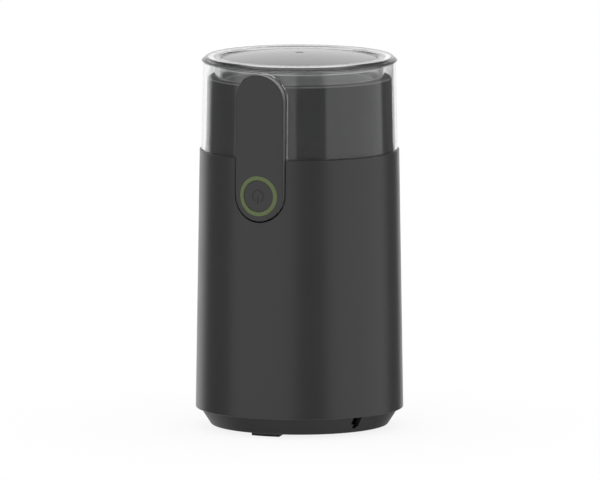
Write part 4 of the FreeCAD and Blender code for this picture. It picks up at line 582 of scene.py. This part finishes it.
def metal(name, colour, roughness, *more):
    """Lined metal that varies around one colour and roughness."""
    return lined_metal(name, shades(colour, METAL_TINTS), spread(roughness, METAL_GLOSS), *more)


def satin_steel(name):
    """Bead-blasted steel, which scatters about half of what it sends back."""
    return lined_metal(name, SATIN_TINTS, SATIN_ROUGHNESS, metallic=SATIN_METALLIC)


def rubber(name, colour):
    shader = Shader(name)
    speckle = shader.noise(SPECKLE_SCALE, detail=4.0)
    shader.set(Base_Color=shader.tint(speckle, *shades(colour, RUBBER_TINTS)),
               Roughness=shader.between(speckle, *RUBBER_ROUGHNESS))
    shader.relief(speckle, SPECKLE_DEPTH, RUBBER_EDGE)
    return shader.material


# Each slot's material, made with the slot's name.
MATERIALS = {
    "body_plastic": lambda name: plastic(name, BODY_COLOUR, BODY_ROUGHNESS, ior=BODY_IOR),
    "panel_plastic": lambda name: plastic(name, BODY_COLOUR, BODY_ROUGHNESS, ior=BODY_IOR,
                                          grain=PANEL_GRAIN_SCALE, depth=FINE_GRAIN_DEPTH),
    "base_plastic": lambda name: plastic(name, (0.022, 0.022, 0.022), 0.5),
    "ring_plastic": lambda name: plastic(name, (0.091, 0.122, 0.044), 0.35),
    "lid_plastic": clear_plastic,
    "disc_plastic": lambda name: plastic(name, (0.13, 0.13, 0.13), 0.16,
                                         depth=GLOSSY_GRAIN_DEPTH),
    "inner_plastic": lambda name: plastic(name, (0.02, 0.02, 0.021), 0.5),
    "bowl_steel": satin_steel,
    "blade_steel": lambda name: metal(name, (0.58, 0.58, 0.58), 0.25, BLADE_LINES),
    "plain_steel": lambda name: metal(name, (0.50, 0.50, 0.51), 0.3),
    "core_steel": lambda name: metal(name, (0.20, 0.20, 0.21), 0.5, LAMINATIONS,
                                     LAMINATION_DEPTH),
    "bearing_bronze": lambda name: metal(name, (0.55, 0.38, 0.18), 0.45),
    "brass": lambda name: metal(name, (0.65, 0.50, 0.22), 0.3),
    "winding_copper": lambda name: metal(name, (0.55, 0.24, 0.11), 0.35, WIRE_TURNS, WIRE_DEPTH),
    "carbon": lambda name: rubber(name, (0.02, 0.02, 0.02)),
    "rubber": lambda name: rubber(name, (0.022, 0.022, 0.022)),
    "spring_steel": lambda name: metal(name, (0.5, 0.5, 0.5), 0.25),
    "capacitor_yellow": lambda name: plastic(name, (0.55, 0.42, 0.05), 0.3),
    "lead_plastic": lambda name: plastic(name, (0.10, 0.02, 0.015), 0.3),
}


def dress_solids():
    """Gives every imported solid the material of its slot, and the collar its own."""
    made = {}
    for entry in frame["record"]["subparts"]:
        slot = entry["material_slot"]
        node = frame["nodes"][entry["node"]]
        if slot not in made:
            made[slot] = MATERIALS[slot](slot)
        node.data.materials.clear()
        node.data.materials.append(made[slot])
        smooth(node)
    frame["nodes"]["collar"].data.materials[0] = collar_plastic()
    return made


# Pieces


def stands_for(piece, node, body, material):
    piece.data.materials.clear()
    piece.data.materials.append(material)
    smooth(piece)
    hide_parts(node)
    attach(piece, body)


def make_body(materials):
    """The tapered shell, with a ledge under its mouth and a slot for the front panel."""
    ledge = SHOULDER - BODY_LEDGE_DEPTH
    shell = turned("body_skin", [
        (BODY_BOTTOM_RADIUS, BODY_BOTTOM, BODY_ROUNDING),
        (BODY_TOP_RADIUS, SHOULDER, SHOULDER_ROUNDING),
        (BODY_MOUTH_RADIUS, SHOULDER, BODY_ROUNDING),
        (BODY_MOUTH_RADIUS, ledge, 0),
        (BODY_LEDGE_RADIUS, ledge, 0),
        (BODY_BOTTOM_RADIUS - BODY_WALL, BODY_BOTTOM, 0),
    ])
    cut(shell, slot_cutter("body_slot", BODY_SLOT_BACK, PANEL_BOTTOM - PANEL_GAP,
                           SHOULDER + SLOT_OVERRUN))
    stands_for(shell, "body_shell", "housing", materials["body_plastic"])


def panel_profile():
    """How far out each ring of the panel's face goes, and how far back it drops."""
    flat = PANEL_HALF_WIDTH - PANEL_ROUNDING
    profile = [(step / PANEL_RINGS * flat, 0.0) for step in range(1, PANEL_RINGS + 1)]
    for step in range(1, ARC_STEPS + 1):
        angle = math.pi / 2 * step / ARC_STEPS
        profile.append((flat + PANEL_ROUNDING * math.sin(angle),
                        PANEL_ROUNDING - PANEL_ROUNDING * math.cos(angle)))
    return profile


def make_panel():
    """The stadium-shaped plate: rings of points from its middle line out to its edge."""
    sides = stadium(PANEL_HALF_WIDTH, PANEL_BOTTOM, PANEL_TOP)

    def make(shape):
        def point(x, z, drop=0.0, radius=PANEL_FACE_RADIUS):
            return shape.verts.new((x, -math.sqrt(radius ** 2 - x ** 2) + drop, z))

        rings = [[point(*(middle + way * reach), drop) for middle, way in sides]
                 for reach, drop in panel_profile()]
        rings.append([point(*(middle + way * PANEL_HALF_WIDTH), radius=PANEL_BACK_RADIUS)
                      for middle, way in sides])
        for near, far in zip(rings, rings[1:]):
            bridge(shape, near, far)
        inner = rings[0]
        half = len(sides) // 2
        top = point(0, PANEL_TOP - PANEL_HALF_WIDTH)
        low = point(0, PANEL_BOTTOM + PANEL_HALF_WIDTH)
        for index in range(half - 1):
            shape.faces.new((inner[index], inner[index + 1], top))
            shape.faces.new((inner[half + index], inner[half + index + 1], low))
        shape.faces.new((inner[half - 1], inner[half], low, top))
        shape.faces.new((inner[-1], inner[0], top, low))
        shape.faces.new(rings[-1])

    panel = new_piece("panel_plate", make)
    hole = [(RING_HOLE_RADIUS * across, BUTTON_LEVEL + RING_HOLE_RADIUS * up)
            for across, up in round_steps(HOLE_STEPS)]
    cut(panel, prism("ring_hole", hole, CUTTER_FRONT, RING_HOLE_BACK))
    stands_for(panel, "front_panel", "housing", panel_plastic())


def make_lid(materials):
    """The clear lid: its recessed plate, lip, wall and inner skirt, and the panel's slot."""
    recess_wall = DISC_RADIUS + DISC_CLEARANCE
    skirt_inside = SKIRT_RADIUS - SKIRT_WALL
    skirt_end = RIM + SKIRT_CLEARANCE
    roof = LID_TOP - LID_ROOF_DEPTH
    lid = turned("lid_clear", [
        (0, PLATE_TOP, 0),
        (recess_wall, PLATE_TOP, RECESS_FILLET),
        (recess_wall, LID_TOP - RECESS_DEPTH, RECESS_ROUNDING),
        (RECESS_RADIUS, LID_TOP, RECESS_ROUNDING),
        (LIP_TOP_RADIUS, LID_TOP, LID_ROUNDING),
        (LIP_BEVEL_RADIUS, LID_TOP - LIP_BEVEL_DEPTH, LID_ROUNDING),
        (LIP_RADIUS, LID_TOP - LIP_EDGE_DEPTH, LID_ROUNDING),
        (LID_NECK_RADIUS, LID_TOP - LIP_UNDER_DEPTH, LID_ROUNDING),
        (LID_FOOT_RADIUS, LID_BOTTOM, LID_ROUNDING),
        (LID_FOOT_RADIUS - LID_WALL, LID_BOTTOM, LID_ROUNDING),
        (LID_NECK_RADIUS - LID_WALL, roof, NECK_FILLET),
        (SKIRT_RADIUS, roof, SKIRT_FILLET),
        (SKIRT_RADIUS, skirt_end, SKIRT_END_ROUNDING),
        (skirt_inside, skirt_end, SKIRT_END_ROUNDING),
        (skirt_inside, PLATE_UNDER, PLATE_FILLET),
        (0, PLATE_UNDER, 0),
    ])
    cut(lid, slot_cutter("lid_slot", LID_SLOT_BACK, SHOULDER - SLOT_OVERRUN,
                         PANEL_TOP + PANEL_GAP))
    stands_for(lid, "lid_cover", "lid", materials["lid_plastic"])


def crown_points(radius, edge, rise):
    """Points of a dome from its edge in to its top."""
    ball = (radius ** 2 + rise ** 2) / (2 * rise)
    points = []
    for step in range(DOME_STEPS + 1):
        r = radius * (1 - step / DOME_STEPS)
        points.append((r, edge + math.sqrt(ball ** 2 - r ** 2) - (ball - rise), 0))
    return points


def make_disc(materials):
    """The domed disc, with a dimple at its top."""
    dome = crown_points(DISC_RADIUS - DISC_EDGE_INSET, DISC_EDGE_TOP, DISC_TOP - DISC_EDGE_TOP)
    disc = turned("disc_dome", [
        (DISC_RADIUS, PLATE_TOP, 0),
        (DISC_RADIUS, DISC_EDGE_TOP - DISC_EDGE_DROP, 0),
        *(point for point in dome if point[0] > DIMPLE_RADIUS + DIMPLE_MARGIN),
        (DIMPLE_RADIUS, DISC_TOP - DIMPLE_EDGE_DROP, DIMPLE_ROUNDING),
        (DIMPLE_FLOOR_RADIUS, DISC_TOP - DIMPLE_DEPTH, DIMPLE_ROUNDING),
        (0, DISC_TOP - DIMPLE_DEPTH, 0),
        (0, PLATE_TOP, 0),
    ])
    stands_for(disc, "lid_disc", "lid", materials["disc_plastic"])


def make_springs(materials):
    """Springs made as copies of their solids, in spring steel and carried by the housing."""
    for name, joint, axis, fixed_end, travel in PRESSED_SPRINGS:
        solid = frame["nodes"][name]
        coil = bpy.data.objects.new(name + "_coil", solid.data.copy())
        bpy.context.scene.collection.objects.link(coil)
        coil.matrix_world = solid.matrix_world
        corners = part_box(name)
        anchor = (Vector(corners[0]) + Vector(corners[1])) / 2
        anchor[axis] = corners[fixed_end][axis]
        way = Vector((0, 0, 0))
        way[axis] = 1
        stands_for(coil, name, "housing", materials["spring_steel"])
        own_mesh(coil)


# Studio


def make_world():
    """White surroundings; what shines sees a dim studio with two broad lights."""
    world = bpy.data.worlds.new("studio")
    bpy.context.scene.world = world
    world.use_nodes = True
    world.cycles.sampling_method = "NONE"
    nodes = Nodes(world.node_tree)
    place = nodes.add("ShaderNodeTexCoord").outputs["Generated"]
    turn = nodes.add("ShaderNodeVectorRotate", {"Angle": -VIEW_BEARING, "Vector": place},
                     rotation_type="Z_AXIS")
    across, along, height = nodes.add("ShaderNodeSeparateXYZ", {0: turn.outputs[0]}).outputs
    towards = nodes.compute("MULTIPLY", along, -1.0)
    bearing = nodes.compute("DEGREES", nodes.compute("ARCTAN2", across, towards))

    def light(edges, glow):
        soft = LIGHT_SOFTNESS / 2
        rise = nodes.step_up(bearing, edges[0] - soft, edges[0] + soft)
        fall = nodes.step_up(bearing, edges[1] - soft, edges[1] + soft)
        return nodes.compute("MULTIPLY", nodes.compute("SUBTRACT", rise, fall), glow)

    lights = nodes.compute("ADD", light(LEFT_LIGHT, LEFT_GLOW), light(RIGHT_LIGHT, RIGHT_GLOW))
    left_end = nodes.compute("SUBTRACT", 1.0, nodes.step_up(bearing, *BACKDROP_LEFT))
    right_end = nodes.step_up(bearing, *BACKDROP_RIGHT)
    backdrop = nodes.compute("MULTIPLY", nodes.compute("ADD", left_end, right_end),
                             BACKDROP_GLOW)
    glow = nodes.compute("ADD", nodes.compute("MAXIMUM", lights, backdrop), ROOM_GLOW)
    glow = nodes.mix("FLOAT", nodes.step_up(height, *CEILING), glow, CEILING_GLOW)
    path = nodes.add("ShaderNodeLightPath").outputs
    scattered = nodes.compute("GREATER_THAN", path["Diffuse Depth"], ANY_BOUNCE)
    bounces = nodes.compute("ADD", path["Diffuse Depth"], path["Glossy Depth"])
    seen = nodes.compute("LESS_THAN", bounces, ANY_BOUNCE)
    strength = nodes.mix("FLOAT", seen, nodes.mix("FLOAT", scattered, glow, ROOM_LIGHT), 1.0)
    background = nodes.tree.nodes["Background"]
    nodes.feed(background, "Color", WHITE)
    nodes.feed(background, "Strength", strength)


def floor_paper():
    """Pale paper that the camera sees as white, with faint shadows."""
    shader = Shader("floor_paper")
    paper = shader.noise(PAPER_SCALE)
    shader.set(Base_Color=shader.tint(paper, *PAPER_COLOURS), Roughness=FLOOR_ROUGHNESS,
               Specular_IOR_Level=0.0)
    white = shader.add("ShaderNodeEmission", {"Color": WHITE, "Strength": 1.0})
    seen = shader.add("ShaderNodeLightPath").outputs["Is Camera Ray"]
    whiteness = shader.compute("MULTIPLY", seen, 1.0 - FLOOR_SHADOW)
    mix = shader.add("ShaderNodeMixShader", {0: whiteness, 1: shader.surface.outputs[0],
                                             2: white.outputs[0]})
    shader.feed(shader.tree.nodes["Material Output"], "Surface", mix.outputs[0])
    return shader.material


def make_floor():
    def make(shape):
        corners = ((-1, -1), (1, -1), (1, 1), (-1, 1))
        shape.faces.new([shape.verts.new((x * FLOOR_REACH, y * FLOOR_REACH, 0))
                         for x, y in corners])

    floor = new_piece("floor", make)
    floor.data.materials.append(floor_paper())
    floor.visible_glossy = False
    floor.visible_transmission = False


def make_camera():
    """The photograph's camera, far away and looking slightly down."""
    camera = bpy.data.cameras.new("camera")
    camera.lens = PIXELS_PER_METRE * camera.sensor_width / IMAGE_WIDTH * VIEW_DISTANCE
    camera.clip_end = VIEW_END
    holder = bpy.data.objects.new("camera", camera)
    bpy.context.scene.collection.objects.link(holder)
    way = Vector((math.sin(VIEW_BEARING) * math.cos(VIEW_ELEVATION),
                  -math.cos(VIEW_BEARING) * math.cos(VIEW_ELEVATION), math.sin(VIEW_ELEVATION)))
    right = Vector((math.cos(VIEW_BEARING), math.sin(VIEW_BEARING), 0))
    target = Vector((0, 0, AIM_LEVEL)) + right * AIM_RIGHT
    holder.location = target + way * VIEW_DISTANCE
    holder.rotation_euler = way.to_track_quat("Z", "Y").to_euler()
    bpy.context.scene.camera = holder


def main():
    make_camera()
    make_world()
    make_floor()
    materials = dress_solids()
    make_body(materials)
    make_panel()
    make_lid(materials)
    make_disc(materials)
    make_springs(materials)
    bpy.context.scene.view_settings.view_transform = "Standard"


main()
